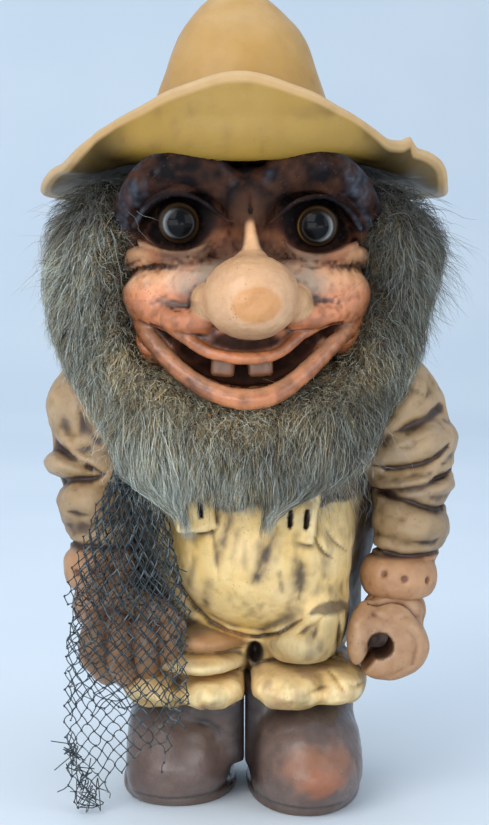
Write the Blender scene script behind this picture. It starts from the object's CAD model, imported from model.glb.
import bpy, math
import numpy as np
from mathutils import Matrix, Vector


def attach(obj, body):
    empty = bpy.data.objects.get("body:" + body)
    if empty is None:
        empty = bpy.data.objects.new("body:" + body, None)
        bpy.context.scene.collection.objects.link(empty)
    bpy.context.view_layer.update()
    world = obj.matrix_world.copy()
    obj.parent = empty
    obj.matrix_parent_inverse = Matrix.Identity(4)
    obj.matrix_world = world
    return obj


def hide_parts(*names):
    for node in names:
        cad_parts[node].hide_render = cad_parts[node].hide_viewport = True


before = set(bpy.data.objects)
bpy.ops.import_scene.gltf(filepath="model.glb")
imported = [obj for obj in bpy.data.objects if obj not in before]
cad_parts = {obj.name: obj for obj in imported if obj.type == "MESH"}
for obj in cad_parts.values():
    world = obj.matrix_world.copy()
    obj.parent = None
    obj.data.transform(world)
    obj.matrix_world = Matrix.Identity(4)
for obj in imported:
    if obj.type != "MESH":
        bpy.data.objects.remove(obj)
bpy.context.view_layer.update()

# A hand-painted cast gnome fisherman. Castings are sculpted as distance fields in millimetres and meshed here;
# the fur is individual tapered hairs and the net is a simulated lattice of twine. Everything rides on "root".
MM = 0.001
f32 = np.float32


# ------------------------------------------------------------------------------------------------ noise
def _hash(ix, iy, iz, seed):
    n = (ix * 73856093) ^ (iy * 19349663) ^ (iz * 83492791) ^ (seed * 2654435761 & 0x7FFFFFFF)
    n = (n ^ (n >> 13)) * 1274126177
    n = n ^ (n >> 16)
    return ((n & 0xFFFFFF).astype(f32)) / f32(0xFFFFFF) * 2 - 1


def noise(P, scale, seed=0):
    """Smooth value noise in -1..1 at points P, one cell per scale millimetres."""
    Q = P / f32(scale)
    I = np.floor(Q).astype(np.int64)
    F = (Q - I).astype(f32)
    F = F * F * (3 - 2 * F)
    out = 0
    for dx in (0, 1):
        wx = F[:, 0] if dx else 1 - F[:, 0]
        for dy in (0, 1):
            wy = F[:, 1] if dy else 1 - F[:, 1]
            for dz in (0, 1):
                wz = F[:, 2] if dz else 1 - F[:, 2]
                out = out + wx * wy * wz * _hash(I[:, 0] + dx, I[:, 1] + dy, I[:, 2] + dz, seed)
    return out.astype(f32)


def fbm(P, scale, octaves=3, seed=0):
    out, amp, tot = 0, 1.0, 0.0
    for o in range(octaves):
        out = out + amp * noise(P, scale / 2 ** o, seed + 17 * o)
        tot += amp
        amp *= 0.5
    return out / f32(tot)


# ------------------------------------------------------------------------------------------------ distance fields
def smin(a, b, k):
    h = np.clip(0.5 + 0.5 * (b - a) / k, 0, 1)
    return b + (a - b) * h - k * h * (1 - h)


def smax(a, b, k):
    return -smin(-a, -b, k)


def V(*v):
    return np.array(v, f32)


def rot_xyz(rx=0, ry=0, rz=0):
    rx, ry, rz = (math.radians(a) for a in (rx, ry, rz))
    X = np.array([[1, 0, 0], [0, math.cos(rx), -math.sin(rx)], [0, math.sin(rx), math.cos(rx)]])
    Y = np.array([[math.cos(ry), 0, math.sin(ry)], [0, 1, 0], [-math.sin(ry), 0, math.cos(ry)]])
    Z = np.array([[math.cos(rz), -math.sin(rz), 0], [math.sin(rz), math.cos(rz), 0], [0, 0, 1]])
    return (Z @ Y @ X).astype(f32)


def ball(P, c, r):
    return np.sqrt(((P - V(*c)) ** 2).sum(1)) - f32(r)


def egg(P, c, r, R=None):
    q = P - V(*c)
    if R is not None:
        q = q @ R
    r = V(*r)
    k0 = np.sqrt(((q / r) ** 2).sum(1)) + f32(1e-6)
    k1 = np.sqrt(((q / (r * r)) ** 2).sum(1)) + f32(1e-6)
    return k0 * (k0 - 1) / k1


def brick(P, c, h, r, R=None):
    q = P - V(*c)
    if R is not None:
        q = q @ R
    q = np.abs(q) - (V(*h) - f32(r))
    return np.sqrt((np.maximum(q, 0) ** 2).sum(1)) + np.minimum(q.max(1), 0) - f32(r)


def smooth_path(pts, n=14):
    """A Catmull-Rom path through points (with any number of extra columns)."""
    p = np.array(pts, float)
    p = np.vstack([2 * p[0] - p[1], p, 2 * p[-1] - p[-2]])
    out = []
    segs = len(p) - 3
    for t in np.linspace(0, segs, n):
        i = min(int(t), segs - 1)
        u = t - i
        a, b, c, d = p[i:i + 4]
        out.append(0.5 * (2 * b + (c - a) * u + (2 * a - 5 * b + 4 * c - d) * u * u + (3 * b - a - 3 * c + d) * u ** 3))
    return np.array(out)


def tube(P, pts, n=14, margin=9.0, flat=None):
    """A round tube through (x, y, z, radius) points; far points get a large value."""
    path = smooth_path(pts, n).astype(f32)
    lo, hi = path[:, :3].min(0) - path[:, 3].max() - margin, path[:, :3].max(0) + path[:, 3].max() + margin
    m = ((P > lo) & (P < hi)).all(1)
    out = np.full(len(P), f32(1e3), f32)
    if not m.any():
        return out
    Q = P[m]
    best = np.full(len(Q), f32(1e3), f32)
    for a, b in zip(path[:-1], path[1:]):
        ab = b[:3] - a[:3]
        L = float(ab @ ab) + 1e-9
        pa = Q - a[:3]
        t = np.clip(pa @ ab / f32(L), 0, 1)
        d = np.sqrt(((pa - t[:, None] * ab) ** 2).sum(1)) - (a[3] + t * (b[3] - a[3]))
        np.minimum(best, d, out=best)
    out[m] = best
    return out


def groove(P, d, pts, width, depth, n=12):
    """Cuts a soft crease of the given width and depth along a path near the surface."""
    t = tube(P, [(x, y, z, 0.0) for x, y, z in pts], n, margin=3.2 * width + 4)
    m = t < 3.2 * width
    if m.any():
        d = d.copy()
        d[m] += depth * np.exp(-(t[m] / f32(width)) ** 2)
    return d


# ------------------------------------------------------------------------------------------------ meshing
_C = np.array([(i, j, k) for i in (0, 1) for j in (0, 1) for k in (0, 1)])
_E = [(a, b) for a in range(8) for b in range(a + 1, 8) if abs(_C[a] - _C[b]).sum() == 1]


def field_mesh(f, lo, hi, h, polish=2):
    """Meshes the zero surface of f inside a box with quads (surface nets), then settles the points on it."""
    B = 6
    lo = np.array(lo, float)
    nb = np.ceil((np.array(hi, float) - lo) / (h * B)).astype(int)
    n = nb * B + 1
    bi = np.stack(np.meshgrid(*[np.arange(k) for k in nb], indexing="ij"), -1).reshape(-1, 3)
    cen = (lo + (bi + 0.5) * B * h).astype(f32)
    fc = np.concatenate([f(cen[s:s + 200000]) for s in range(0, len(cen), 200000)])
    hot = np.abs(fc) < 0.5 * math.sqrt(3) * B * h * 1.45 + 0.8
    G = np.repeat(np.repeat(np.repeat(np.where(fc < 0, -9, 9).astype(f32).reshape(nb), B, 0), B, 1), B, 2)
    G = np.pad(G, ((0, 1),) * 3, mode="edge")
    mask = np.zeros(n, bool)
    off = np.stack(np.meshgrid(*[np.arange(B + 1)] * 3, indexing="ij"), -1).reshape(-1, 3)
    hb = bi[hot] * B
    for s in range(0, len(hb), 4000):
        q = (hb[s:s + 4000, None, :] + off[None]).reshape(-1, 3)
        mask[q[:, 0], q[:, 1], q[:, 2]] = True
    idx = np.argwhere(mask)
    pts = (lo + idx * h).astype(f32)
    val = np.concatenate([f(pts[s:s + 250000]) for s in range(0, len(pts), 250000)])
    G[idx[:, 0], idx[:, 1], idx[:, 2]] = val
    S = G < 0
    S[0], S[-1], S[:, 0], S[:, -1], S[:, :, 0], S[:, :, -1] = (False,) * 6
    G[0], G[-1], G[:, 0], G[:, -1], G[:, :, 0], G[:, :, -1] = (h * 0.5,) * 6
    cnt = np.zeros(tuple(n - 1), np.int8)
    for c in _C:
        cnt += S[c[0]:n[0] - 1 + c[0], c[1]:n[1] - 1 + c[1], c[2]:n[2] - 1 + c[2]]
    cells = np.argwhere((cnt > 0) & (cnt < 8))
    vals = np.stack([G[cells[:, 0] + c[0], cells[:, 1] + c[1], cells[:, 2] + c[2]] for c in _C], 1)
    sg = np.stack([S[cells[:, 0] + c[0], cells[:, 1] + c[1], cells[:, 2] + c[2]] for c in _C], 1)
    pos = np.zeros((len(cells), 3))
    num = np.zeros(len(cells))
    for a, b in _E:
        x = sg[:, a] != sg[:, b]
        t = np.where(x, vals[:, a] / np.where(np.abs(vals[:, a] - vals[:, b]) < 1e-9, 1, vals[:, a] - vals[:, b]), 0)
        t = np.clip(t, 0, 1)
        pos += x[:, None] * (_C[a] + t[:, None] * (_C[b] - _C[a]))
        num += x
    verts = lo + (cells + pos / num[:, None]) * h
    vid = np.full(tuple(n - 1), -1, np.int64)
    vid[cells[:, 0], cells[:, 1], cells[:, 2]] = np.arange(len(cells))
    quads = []
    for ax in range(3):
        u, w = [a for a in range(3) if a != ax]
        a = [slice(1, -1)] * 3
        b = [slice(1, -1)] * 3
        a[ax], b[ax] = slice(0, -1), slice(1, None)
        A, Bv = S[tuple(a)], S[tuple(b)]
        e = np.argwhere(A != Bv)
        inside = A[e[:, 0], e[:, 1], e[:, 2]]
        e = e + 1
        e[:, ax] -= 1
        q = []
        for du, dw in ((-1, -1), (0, -1), (0, 0), (-1, 0)):
            c = e.copy()
            c[:, u] += du
            c[:, w] += dw
            q.append(vid[c[:, 0], c[:, 1], c[:, 2]])
        q = np.stack(q, 1)
        flip = inside if ax != 1 else ~inside
        q[~flip] = q[~flip][:, ::-1]
        quads.append(q)
    quads = np.concatenate(quads)
    quads = quads[(quads >= 0).all(1)]
    for _ in range(polish):
        verts = relax(verts, quads, 1, 0.35)
        g, v0 = gradient(f, verts, h * 0.5)
        verts = verts - np.clip(v0, -h, h)[:, None] * g / np.maximum((g ** 2).sum(1), 0.25)[:, None]
    return verts, quads


def gradient(f, verts, e=0.3):
    P = verts.astype(f32)
    v0 = _chunk(f, P)
    g = np.stack([(_chunk(f, P + V(*(e * (np.arange(3) == a)))) - v0) / e for a in range(3)], 1)
    return g, v0


def _chunk(f, P, size=150000):
    return np.concatenate([f(P[s:s + size]) for s in range(0, len(P), size)])


def edges_of(quads):
    k = quads.shape[1]
    e = np.concatenate([quads[:, [i, (i + 1) % k]] for i in range(k)])
    e.sort(1)
    return np.unique(e, axis=0)


def relax(verts, quads, times=1, amount=0.5, e=None):
    e = edges_of(quads) if e is None else e
    n = len(verts)
    deg = np.maximum(np.bincount(e.ravel(), minlength=n), 1)[:, None]
    v = verts
    for _ in range(times):
        s = np.stack([np.bincount(e[:, 0], v[e[:, 1], a], n) + np.bincount(e[:, 1], v[e[:, 0], a], n) for a in range(3)], 1)
        v = v + amount * (s / deg - v)
    return v


def blur(x, e, n, times):
    deg = np.maximum(np.bincount(e.ravel(), minlength=n), 1)
    for _ in range(times):
        x = 0.5 * x + 0.5 * (np.bincount(e[:, 0], x[e[:, 1]], n) + np.bincount(e[:, 1], x[e[:, 0]], n)) / deg
    return x


def vertex_normals(verts, quads):
    a, b, c, d = (verts[quads[:, i]] for i in (0, 1, 2, 3 if quads.shape[1] == 4 else 0))
    fn = np.cross(c - a, (d - b) if quads.shape[1] == 4 else (b - a) * -1)
    n = len(verts)
    vn = np.stack([sum(np.bincount(quads[:, i], fn[:, k], n) for i in range(quads.shape[1])) for k in range(3)], 1)
    return vn / np.maximum(np.linalg.norm(vn, axis=1), 1e-9)[:, None]


def cavity(verts, quads, times, scale):
    """Positive in hollows and negative on ridges, at about the size that the given blur reaches."""
    e = edges_of(quads)
    vn = vertex_normals(verts, quads)
    sm = relax(verts, quads, times, 0.6, e)
    return np.clip(((sm - verts) * vn).sum(1) / scale, -1, 1)


# ------------------------------------------------------------------------------------------------ Blender objects
def make_mesh(name, verts, faces, attrs=None, smooth=True, node=None, replaces=(), material=None):
    me = bpy.data.meshes.new(name)
    faces = np.asarray(faces)
    v = (np.asarray(verts, float) * MM).astype(f32)
    me.vertices.add(len(v))
    me.vertices.foreach_set("co", v.ravel())
    k = faces.shape[1]
    me.loops.add(faces.size)
    me.loops.foreach_set("vertex_index", faces.astype(np.int32).ravel())
    me.polygons.add(len(faces))
    me.polygons.foreach_set("loop_start", (np.arange(len(faces)) * k).astype(np.int32))
    me.polygons.foreach_set("loop_total", np.full(len(faces), k, np.int32))
    me.polygons.foreach_set("use_smooth", np.full(len(faces), smooth))
    me.update(calc_edges=True)
    me.validate()
    for key, val in (attrs or {}).items():
        val = np.asarray(val, f32)
        if val.ndim == 1:
            a = me.attributes.new(key, "FLOAT", "POINT")
            a.data.foreach_set("value", val)
        else:
            a = me.attributes.new(key, "FLOAT_COLOR", "POINT")
            a.data.foreach_set("color", np.concatenate([val, np.ones((len(val), 1), f32)], 1).ravel())
    ob = bpy.data.objects.new(name, me)
    bpy.context.scene.collection.objects.link(ob)
    if material is not None:
        me.materials.append(material)
    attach(ob, "root")
    if replaces:
        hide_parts(*replaces)
    return ob


class Mat:
    """A small helper for building node materials."""

    def __init__(self, name):
        self.m = bpy.data.materials.new(name)
        self.m.use_nodes = True
        self.nt = self.m.node_tree
        self.nt.nodes.clear()
        self.out = self.nt.nodes.new("ShaderNodeOutputMaterial")
        self.b = self.nt.nodes.new("ShaderNodeBsdfPrincipled")
        self.nt.links.new(self.b.outputs[0], self.out.inputs[0])
        self.geo = self.nt.nodes.new("ShaderNodeTexCoord").outputs["Object"]

    def link(self, a, b):
        self.nt.links.new(a, b)

    def val(self, x):
        n = self.nt.nodes.new("ShaderNodeValue")
        n.outputs[0].default_value = x
        return n.outputs[0]

    def put(self, sock, v):
        if isinstance(v, (int, float)):
            sock.default_value = v
        elif isinstance(v, (tuple, list)):
            sock.default_value = tuple(v) + ((1.0,) if len(v) == 3 and len(sock.default_value) == 4 else ())
        else:
            self.link(v, sock)

    def attr(self, name, color=False):
        n = self.nt.nodes.new("ShaderNodeAttribute")
        n.attribute_name = name
        return n.outputs["Color" if color else "Fac"]

    def math(self, op, a, b=0.0, c=None, clamp=False):
        n = self.nt.nodes.new("ShaderNodeMath")
        n.operation = op
        n.use_clamp = clamp
        self.put(n.inputs[0], a)
        self.put(n.inputs[1], b)
        if c is not None:
            self.put(n.inputs[2], c)
        return n.outputs[0]

    def noise(self, scale, detail=4, rough=0.55, vec=None, dist=0.0, w=None):
        n = self.nt.nodes.new("ShaderNodeTexNoise")
        self.put(n.inputs["Scale"], scale)
        self.put(n.inputs["Detail"], detail)
        self.put(n.inputs["Roughness"], rough)
        self.put(n.inputs["Distortion"], dist)
        self.link(vec or self.geo, n.inputs["Vector"])
        return n.outputs["Fac"]

    def voronoi(self, scale, feature="F1", vec=None, rand=1.0):
        n = self.nt.nodes.new("ShaderNodeTexVoronoi")
        n.feature = feature
        self.put(n.inputs["Scale"], scale)
        self.put(n.inputs["Randomness"], rand)
        self.link(vec or self.geo, n.inputs["Vector"])
        return n.outputs["Distance"]

    def scaled(self, sx, sy, sz, rot=(0, 0, 0)):
        n = self.nt.nodes.new("ShaderNodeMapping")
        n.inputs["Scale"].default_value = (sx, sy, sz)
        n.inputs["Rotation"].default_value = [math.radians(a) for a in rot]
        self.link(self.geo, n.inputs["Vector"])
        return n.outputs[0]

    def ramp(self, x, lo, hi, a=0.0, b=1.0, smooth=True):
        n = self.nt.nodes.new("ShaderNodeMapRange")
        n.interpolation_type = "SMOOTHSTEP" if smooth else "LINEAR"
        self.put(n.inputs[0], x)
        for i, v in enumerate((lo, hi, a, b)):
            self.put(n.inputs[i + 1], v)
        return n.outputs[0]

    def mix(self, fac, a, b, mode="MIX"):
        n = self.nt.nodes.new("ShaderNodeMix")
        n.data_type = "RGBA"
        n.blend_type = mode
        n.clamp_factor = True
        self.put(n.inputs[0], fac)
        self.put(n.inputs[6], a)
        self.put(n.inputs[7], b)
        return n.outputs[2]

    def bump(self, height, strength=0.3, dist=0.001, prev=None):
        n = self.nt.nodes.new("ShaderNodeBump")
        n.inputs["Strength"].default_value = strength
        n.inputs["Distance"].default_value = dist
        self.link(height, n.inputs["Height"])
        if prev is not None:
            self.link(prev, n.inputs["Normal"])
        return n.outputs[0]

    def set(self, name, v):
        self.put(self.b.inputs[name], v)


def srgb(r, g, b):
    """A colour given in 0..255 display values."""
    return tuple(((c / 255 / 12.92) if c / 255 <= 0.04045 else ((c / 255 + 0.055) / 1.055) ** 2.4) for c in (r, g, b))


def lerp_table(x, xs, ys):
    return np.interp(x, xs, ys)


def sstep(x, a, b):
    t = np.clip((x - a) / (b - a), 0, 1)
    return t * t * (3 - 2 * t)
# ------------------------------------------------------------------------------------------------ head
EYES = ((-22.6, -42.6, 208.4, 1), (25.0, -42.6, 207.4, -1))
UPPER_LIP = [(-33.5, -40.5, 175.0, .8), (-28.0, -46.2, 173.6, 1.5), (-21.2, -51.0, 169.6, 1.9), (-12.7, -55.0, 164.9, 2.1),
             (-3.6, -57.0, 162.9, 2.2), (6.8, -57.0, 163.2, 2.2), (12.5, -55.0, 165.2, 2.1), (18.5, -52.0, 169.6, 1.9),
             (25.0, -47.6, 173.2, 1.6), (30.4, -43.8, 175.0, 1.2), (35.0, -39.0, 175.0, .8)]
LOWER_LIP = [(-37.0, -37.5, 173.4, 1.85), (-33.6, -42.0, 169.5, 2.85), (-28.6, -46.5, 163.9, 3.23), (-22.4, -51.0, 158.2, 3.16), 
             (-15.3, -54.5, 153.5, 3.16), (-7.5, -57.0, 150.1, 3.46), (0.3, -58.0, 148.8, 3.77), (8.7, -57.0, 149.9, 3.46), 
             (16.6, -54.0, 154.1, 3.23), (23.2, -50.0, 159.7, 3.16), (30.0, -45.0, 166.1, 3.08), (35.5, -40.5, 170.5, 2.46), 
             (39.0, -36.5, 174.2, 1.54)]
MOUTH_TOP = np.array([(-33.5, 174.5), (-28, 172.4), (-21.2, 168.0), (-12.7, 163.4), (-3.6, 161.3), (6.8, 161.6), (12.5, 163.6),
                      (18.5, 168.2), (25, 172.1), (30.4, 174.2), (35, 174.6)])
MOUTH_LOW = np.array([(-33.5, 173.6), (-28, 167.0), (-21.2, 160.9), (-15, 156.4), (-7.5, 153.2), (0.3, 152.0), (8.7, 153.1),
                      (16, 156.8), (22.6, 162.5), (29, 168.8), (35, 173.8)])


def head_field(P):
    x, y, z = P[:, 0], P[:, 1], P[:, 2]
    d = egg(P, (0.8, -4, 192), (43.0, 39, 52))
    # temples and jaw
    d = smin(d, egg(P, (0.8, -14, 205), (43.5, 25, 22)), 6)
    d = smin(d, egg(P, (-31.5, -31, 167.5), (8.6, 11, 9.5)), 5)
    d = smin(d, egg(P, (35.0, -29, 170.5), (7.2, 11, 8.5)), 5)
    d = smin(d, egg(P, (0.8, -18, 184), (42.0, 22, 22)), 5)
    # muzzle and cheeks
    d = smin(d, egg(P, (0.5, -38, 166), (29, 17.5, 15.5)), 6)
    d = smin(d, egg(P, (-28.2, -33.5, 183.6), (14.6, 13.5, 10.8), rot_xyz(0, -8, 0)), 7)
    d = smin(d, egg(P, (30.0, -33.5, 184.6), (14.4, 13.5, 11.2), rot_xyz(0, 10, 0)), 7)
    d = smin(d, egg(P, (-14, -43, 187), (14, 9, 9)), 6)
    d = smin(d, egg(P, (19, -43, 187), (14, 9, 9)), 6)
    # folds from the nose wings round the mouth's corners
    d = smin(d, tube(P, [(-14, -53, 176, 4.5), (-21, -50.5, 174.5, 4.2), (-29, -46, 176.5, 3.6), (-36, -38, 180, 2.6)], 10), 3.5)
    d = smin(d, tube(P, [(18, -53, 176.5, 4.2), (25, -50, 176.5, 4.0), (32, -44.5, 178.2, 3.6), (38.5, -36, 181, 2.6)], 10), 3.5)
    # bags under the eyes
    d = smin(d, tube(P, [(-40.6, -29, 195.5, 3.0), (-36.0, -37, 197.4, 3.2), (-28, -42.8, 197.6, 2.8), (-20, -45.2, 196.6, 2.2), (-12, -46.4, 199.5, 0.9)], 14), 4.0)
    d = smin(d, tube(P, [(42.4, -29, 196, 3.0), (38.0, -36.5, 197.8, 3.2), (31, -42.6, 197.4, 2.8), (22.6, -45.4, 195.4, 2.2), (14.5, -46.4, 199.0, 0.9)], 14), 4.0)
    # brow rolls
    d = smin(d, tube(P, [(-41.5, -24, 203, 4.5), (-40, -30, 212, 6.0), (-33.5, -37, 221.5, 7.6), (-23, -41.5, 226.5, 8.2),
                         (-12, -43, 225.2, 7.4), (-3.5, -44.5, 217.5, 4.6)], 16), 3.0)
    d = smin(d, tube(P, [(43.6, -24, 203, 4.5), (42.0, -30, 212.5, 6.0), (35, -37, 222, 7.6), (24, -41.5, 227.0, 8.2),
                         (13.5, -43, 225.2, 7.4), (6.8, -44.5, 217.5, 4.6)], 16), 3.0)
    d = smin(d, egg(P, (1.5, -41.5, 214), (7.5, 8.5, 14)), 4)
    # eye hollows, lids
    for ex, ey, ez, s in EYES:
        d = smax(d, -egg(P, (ex - 1.5 * s, ey - 10.5, ez - 0.6), (12.6, 13.5, 10.6), rot_xyz(0, 12 * s, 0)), 2.6)
    d = smin(d, tube(P, [(-38.5, -34.5, 207.0, 1.1), (-33.2, -41.6, 214.3, 0.9), (-24.5, -45.6, 218.2, 0.9), (-16.7, -46.8, 216.9, 0.9),
                         (-10.2, -46.8, 212.4, 0.8), (-5.4, -47.2, 208.6, 0.5)], 14), 2.4)
    d = smin(d, tube(P, [(40.5, -34.5, 206.4, 1.1), (34.8, -41.6, 213.6, 0.9), (27, -45.6, 217.4, 0.9), (18.5, -46.8, 216.0, 0.9),
                         (12.6, -46.8, 211.6, 0.8), (8.7, -47.2, 208.0, 0.5)], 14), 2.4)
    d = smin(d, tube(P, [(-36.5, -39.0, 202.0, 0.8), (-30.3, -44.8, 199.2, 0.9), (-22.8, -47.2, 198.0, 1.0), (-15.0, -48.0, 199.8, 0.9),
                         (-9.6, -47.6, 204.4, 0.3)], 12), 2.0)
    d = smin(d, tube(P, [(38.6, -39.0, 201.2, 0.8), (32.6, -44.8, 198.2, 0.9), (25.2, -47.2, 197.0, 1.0), (17.4, -48.0, 198.8, 0.9),
                         (12.0, -47.6, 203.6, 0.3)], 12), 2.0)
    # nose
    d = smin(d, tube(P, [(1.8, -47.5, 209.5, 2.2), (2.1, -51.5, 204, 2.5), (2.4, -55.5, 198.5, 3.6), (2.4, -58, 194, 6.0)], 10), 2.6)
    d = smin(d, egg(P, (-11.8, -53.5, 181.6), (5.9, 8.0, 6.0)), 2.6)
    d = smin(d, egg(P, (16.8, -53.5, 181.4), (5.9, 8.0, 6.0)), 2.6)
    d = smin(d, egg(P, (2.3, -62.5, 183.6), (16.2, 16.3, 14.4)), 2.4)
    # a flattened oval on the nose's tip
    d = smax(d, -egg(P, (4.6, -85.6, 180.6), (9.6, 7.6, 6.9)), 1.5)
    # mouth
    top = np.interp(x, MOUTH_TOP[:, 0], MOUTH_TOP[:, 1]).astype(f32)
    low = np.interp(x, MOUTH_LOW[:, 0], MOUTH_LOW[:, 1]).astype(f32)
    slit = np.maximum(np.maximum(z - top, low - z), np.maximum(-34.5 - x, x - 36.0))
    slit = np.maximum(slit, y + 40 + 0.010 * (x - 0.5) ** 2)
    d = smax(d, -slit, 1.2)
    d = smin(d, tube(P, UPPER_LIP, 22), 1.3)
    d = smin(d, tube(P, LOWER_LIP, 24), 1.2)
    # dark dip under the nose
    d = groove(P, d, [(-9.5, -55.0, 168.0), (0.5, -57.0, 167.6), (11, -55.0, 168.0)], 2.2, 1.2)
    # two front teeth
    d = np.minimum(d, brick(P, (-7.4, -50.6, 159.6), (4.1, 2.6, 3.7), 1.5, rot_xyz(0, 4, 0)))
    d = np.minimum(d, brick(P, (5.4, -50.6, 159.7), (4.3, 2.6, 3.6), 1.5, rot_xyz(0, -4, 0)))
    # creases
    for path, w, dep in (
            ([(-12.5, -54, 174.2), (-19, -53.0, 176.4), (-25, -49.5, 177.4), (-29.5, -46.2, 178.0)], 1.5, 0.6),
            ([(16, -54, 175.0), (22, -52.4, 176.8), (28, -48.6, 178.8), (34, -44.4, 182.0)], 1.5, 0.6),
            ([(-42, -30, 193.0), (-36, -41, 195.6), (-28.5, -47, 196.3), (-20, -49, 194.6), (-14, -51, 197)], 0.9, 0.9),
            ([(43.5, -31, 192.5), (37.5, -42, 195.4), (30.5, -47.5, 195.0), (22.5, -50, 193.4), (16.5, -51, 197.5)], 0.9, 0.9),
            ([(1.6, -51, 226), (1.9, -50, 219), (2.0, -49, 212)], 1.1, 1.2),
            ([(-2.4, -50.5, 212), (-2.8, -53.5, 204), (-5.6, -56, 197)], 0.9, 0.5),
            ([(6.2, -50.5, 212), (7.0, -53.5, 204), (10, -56, 197)], 0.9, 0.5),
            ([(-38, -37, 211.5), (-32.5, -43, 217.4), (-24, -47.5, 220.9), (-14, -49, 218.6), (-6.5, -49.5, 211.5)], 0.8, 0.7),
            ([(40, -37, 211.0), (34.5, -43, 216.9), (26.5, -47.5, 220.1), (17.5, -49, 217.9), (10, -49.5, 211.0)], 0.8, 0.7),
            ([(-36.5, -38, 168.0), (-39.5, -34, 173), (-39.6, -33, 179)], 0.8, 0.8),
            ([(-26.5, -48, 158.8), (-30.5, -44, 163.0), (-35.6, -39, 167.2)], 0.9, 1.1),
            ([(30, -46, 162.6), (35, -40, 167.6), (40.5, -34, 172.0)], 0.8, 1.0)):
        d = groove(P, d, path, w, dep)
    near = (np.abs(d) < 3) & (y < -15)
    if near.any():
        Q = P[near]
        d[near] += 0.28 * fbm(Q, 5.0, 2, 3) + 0.10 * noise(Q, 1.3, 9)
    return np.maximum(d, y - 2.0)


def near_path(P, pts, n=16):
    return tube(P.astype(f32), [(a, b, c, 0.0) for a, b, c in pts], n, margin=60)


hv, hq = field_mesh(head_field, (-47, -82, 138), (49, 4, 243), 0.76)
hn = vertex_normals(hv, hq)
hx, hy, hz = hv.T
cav_s = cavity(hv, hq, 6, 0.22)
cav_m = cavity(hv, hq, 40, 0.9)
HP = hv.astype(f32)
nose_m = 1 - sstep(egg(HP, (2.3, -62.5, 183.6), (16.6, 16.8, 15.0)), 0.2, 1.6)
wing_m = 1 - sstep(np.minimum(egg(HP, (-11.8, -53.5, 181.6), (5.9, 8.0, 6.0)), egg(HP, (16.8, -53.5, 181.4), (5.9, 8.0, 6.0))), 0.2, 1.5)
bridge_m = (1 - sstep(near_path(HP, [(1.9, -54, 208.5), (2.2, -57, 203), (2.4, -60, 197.5)]), 1.5, 4.2)) * (hz < 210)
tip_m = 1 - sstep(egg(HP, (4.6, -79.0, 180.9), (9.2, 6, 6.6)), -0.8, 0.9)
lip_m = 1 - sstep(tube(HP, LOWER_LIP, 24, 60), 0.3, 1.5)
ulip_m = 1 - sstep(tube(HP, UPPER_LIP, 24, 60), 0.25, 1.3)
top = np.interp(hx, MOUTH_TOP[:, 0], MOUTH_TOP[:, 1])
low = np.interp(hx, MOUTH_LOW[:, 0], MOUTH_LOW[:, 1])
teeth_m = ((np.abs(hx + 7.4) < 4.5) | (np.abs(hx - 5.4) < 4.6)) & (hz > 153.5) & (hz < 163.5) & (hy > -54) & (hy < -46) & (hn[:, 1] < 0.3)
mouth_m = ((hz < top + 0.4) & (hz > low - 0.6) & (np.abs(hx - 0.7) < 33.5)).astype(float)
mouth_m *= sstep(hy, -57.5, -53.0 + 0.010 * (hx - 0.7) ** 2 * 0.9) * (1 - teeth_m)
mouth_m *= 1 - np.maximum(lip_m, ulip_m) * 0.85
sock_m = np.zeros(len(hv))
for ex, ey, ez, s in EYES:
    q = np.sqrt(((hx - ex + 0.6 * s) / 14.0) ** 2 + ((hz - ez - 0.8) / 10.8) ** 2)
    sock_m = np.maximum(sock_m, 1 - sstep(q, 0.78, 1.08))
brow = np.minimum(near_path(HP, [(-41.5, -29, 203), (-40.5, -36, 213.5), (-34, -44, 223), (-23, -49, 228.5), (-11.8, -50, 226.5), (-4, -49, 219)]),
                  near_path(HP, [(43.6, -29, 203), (42.6, -36, 213.5), (35.5, -44, 223.5), (24, -49, 229), (13, -50, 226.5), (7, -49, 219)]))
ridge = np.minimum(near_path(HP, [(-38.5, -36, 207.0), (-33.2, -43.6, 214.6), (-24.5, -48, 218.6), (-16.7, -49, 217.2), (-10.2, -49, 212.8), (-4.9, -49.5, 208.6)]),
                   near_path(HP, [(40.5, -36, 206.4), (34.8, -43.6, 213.9), (27, -48, 217.8), (18.5, -49, 216.4), (12.6, -49, 212.0), (8.2, -49.5, 208.0)]))
lids = np.minimum(near_path(HP, [(-40, -38, 201.5), (-30.3, -46.4, 199.9), (-22.8, -49.3, 198.6), (-15.0, -50, 200.4), (-9.2, -50.5, 205.6)]),
                  near_path(HP, [(42, -38, 201.0), (32.6, -46.4, 198.9), (25.2, -49.3, 197.6), (17.4, -50, 199.4), (11.6, -50.5, 204.8)]))
n_gate = fbm(HP, 6, 2, 19)
upper = sstep(hz + 0.05 * np.abs(hx - 1), 200.5, 210.5)            # the dark painted brow and eye region
dark = np.maximum(upper, sock_m)
dark *= 1 - 0.9 * bridge_m
rim = np.minimum(near_path(HP, [(-43.5, -22, 206), (-43, -30, 215), (-36.5, -38, 226), (-24, -43, 232.5), (-12, -46, 230.5), (-4.5, -48, 222.5)]),
                 near_path(HP, [(45.5, -22, 206), (44.6, -30, 215.5), (38, -38, 226.5), (25, -43, 233), (13.5, -46, 230.5), (7.6, -48, 222.5)]))
outer = sstep(np.abs(hx - 1), 22, 36)
grey = (1 - sstep(rim, 0.6, 3.0 + 3.2 * outer)) * (0.4 + 0.55 * outer) + (1 - sstep(ridge, 0.3, 1.5)) * 0.75 + 0.5 * outer * (1 - sstep(brow, 2, 7)) * sstep(n_gate, 0.0, 0.4)
eyebag = sstep(hz, 190, 197) * (1 - sstep(hz, 201, 206)) * (1 - nose_m)
pale = np.maximum(1 - sstep(lids, 0.3, 1.5), 0.0)
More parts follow.
